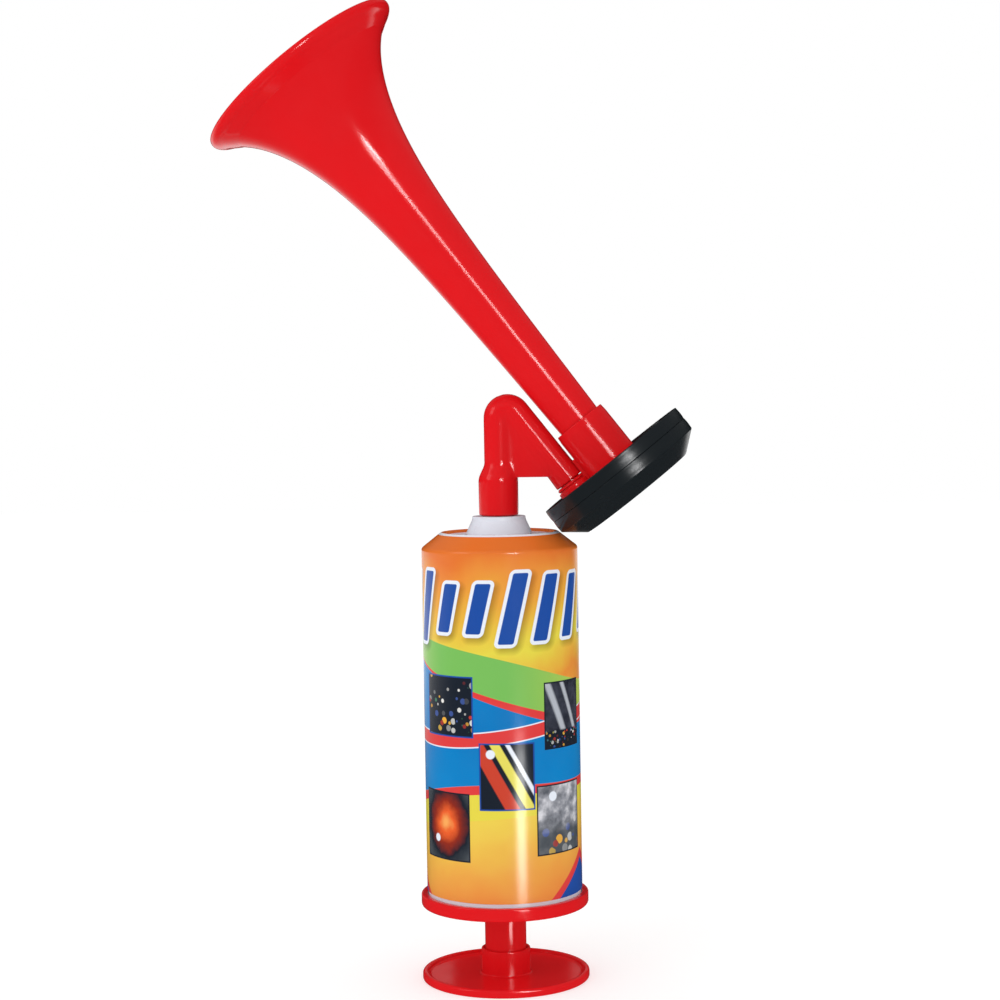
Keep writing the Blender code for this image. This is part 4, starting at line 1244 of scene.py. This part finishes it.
# The object's soft light, and the dim room in its gloss, which starts a little over the horizon
LIGHT = (1.0, 1.0, 1.0)
SOFT_LIGHT = 0.9
ROOM_LIGHT = 0.14
ROOM_START = 0.34
ROOM_FADE = 0.2

# The floor, and how bright it is in the object's gloss from near right to far left
FLOOR_REACH = 3.0
FLOOR_GREY = 0.62
FLOOR_LIGHT = 0.48
FAR_SLANT = 0.8
FAR_START = 0.75
FAR_FADE = 0.7
FAR_LIGHT = 0.9
NEAR_LIGHT = 0.04


def camera():
    """The photograph's camera: 0.71 m away, a little to the right, looking down by 2.8 degrees."""
    data = bpy.data.cameras.new("camera")
    data.lens = CAMERA_LENS
    made = linked("camera", data)
    turn = Matrix.Rotation(CAMERA_YAW, 4, "Z") @ Matrix.Rotation(pi / 2.0 - CAMERA_PITCH, 4, "X")
    made.matrix_world = Matrix.Translation(CAMERA_PLACE) @ turn @ Matrix.Rotation(CAMERA_ROLL, 4, "Z")
    bpy.context.scene.camera = made


def lamp(name, place, target, width, height, radiance, spin=0.0, gloss_only=True, spread=180.0):
    """A soft lamp that faces the target, mirrored only or lighting only. Spin turns it in its own plane."""
    data = bpy.data.lights.new(name, "AREA")
    data.shape = "RECTANGLE"
    data.size = width
    data.size_y = height
    data.energy = radiance * pi * width * height
    data.spread = radians(spread)
    made = linked(name, data)
    way = Vector(target) - Vector(place)
    turn = way.to_track_quat("-Z", "Y").to_matrix().to_4x4() @ Matrix.Rotation(radians(spin), 4, "Z")
    made.matrix_world = Matrix.Translation(place) @ turn
    made.visible_camera = False
    made.visible_diffuse = not gloss_only
    made.visible_glossy = gloss_only


def world():
    """White for the camera, soft light for the object, and a dim room for its gloss."""
    made = bpy.data.worlds.new("studio")
    bpy.context.scene.world = made
    made.use_nodes = True
    tree = made.node_tree
    tree.nodes.clear()
    path = add(tree, "LightPath")
    height = split(tree, add(tree, "TexCoord")["Generated"])[2]
    soft = add(tree, "Background", Color=LIGHT, Strength=SOFT_LIGHT)[0]
    room = add(tree, "Background", Color=LIGHT, Strength=height.rise(ROOM_START, ROOM_FADE) * ROOM_LIGHT)[0]
    white = add(tree, "Background", Color=LIGHT, Strength=1.0)[0]
    gloss = Field(tree, path["Is Glossy Ray"]).calc("MAXIMUM", Field(tree, path["Is Transmission Ray"]))
    lit = mixed(tree, path["Is Camera Ray"], mixed(tree, gloss, soft, room), white)
    tree.links.new(lit, tree.nodes.new("ShaderNodeOutputWorld").inputs[0])


def floor():
    """Plain white floor that keeps the object's shadow. Only its far left is bright in the object's gloss."""
    ends = (-FLOOR_REACH, FLOOR_REACH)
    mesh = bpy.data.meshes.new("floor")
    mesh.from_pydata([(x, y, 0.0) for x in ends for y in ends], [], [(0, 2, 3, 1)])
    made = linked("floor", mesh)
    shader = Shader("floor_white", 1.0, 0.0)
    shader.give("Base Color", (FLOOR_GREY,) * 3)
    shader.give("Emission Color", LIGHT)
    shader.give("Emission Strength", FLOOR_LIGHT)
    tree = shader.tree
    x, y = split(tree, shader.place)[:2]
    far_left = (y - x * FAR_SLANT).rise(FAR_START, FAR_FADE) * FAR_LIGHT + NEAR_LIGHT
    mirrored = add(tree, "Emission", Color=LIGHT, Strength=far_left)[0]
    lit = mixed(tree, add(tree, "LightPath")["Is Glossy Ray"], shader.surface.outputs[0], mirrored)
    tree.links.new(lit, tree.nodes["Material Output"].inputs["Surface"])
    mesh.materials.append(shader.made)


camera()
world()
floor()
lamp("key", (-0.9, -1.1, 0.9), (0.0, 0.0, 0.18), 0.9, 0.9, 1.1, gloss_only=False)
lamp("bell_strip", (0.235, -0.65, 0.29), (-0.02, 0.0, 0.22), 0.12, 0.15, 17.0, 8.0)
lamp("bell_strip_top", (0.215, -0.65, 0.42), (-0.02, 0.0, 0.22), 0.08, 0.13, 17.0, 8.0)
lamp("bell_tip", (0.318, -0.640, 0.300), (-0.02, 0.0, 0.26), 0.055, 0.12, 50.0)
lamp("can_strip", (0.0680, -0.1340, 0.032), (0.004, -0.026, 0.032), 0.030, 0.056, 5.0, spread=90.0)
lamp("rod_strip", (0.0290, -0.0487, 0.0070), (0.0018, -0.0067, 0.0070), 0.016, 0.012, 3.0, spread=60.0)
lamp("window", (-0.87, -0.52, 0.62), (0.0, 0.0, 0.15), 0.5, 0.5, 2.0)
lamp("dish_left", (-0.08, 0.25, 0.071), (-0.08, 0.0, 0.071), 0.08, 0.012, 0.4)
lamp("dish_right", (0.054, 0.25, 0.071), (0.054, 0.0, 0.071), 0.08, 0.012, 0.4)

bpy.context.scene.view_settings.view_transform = "Standard"
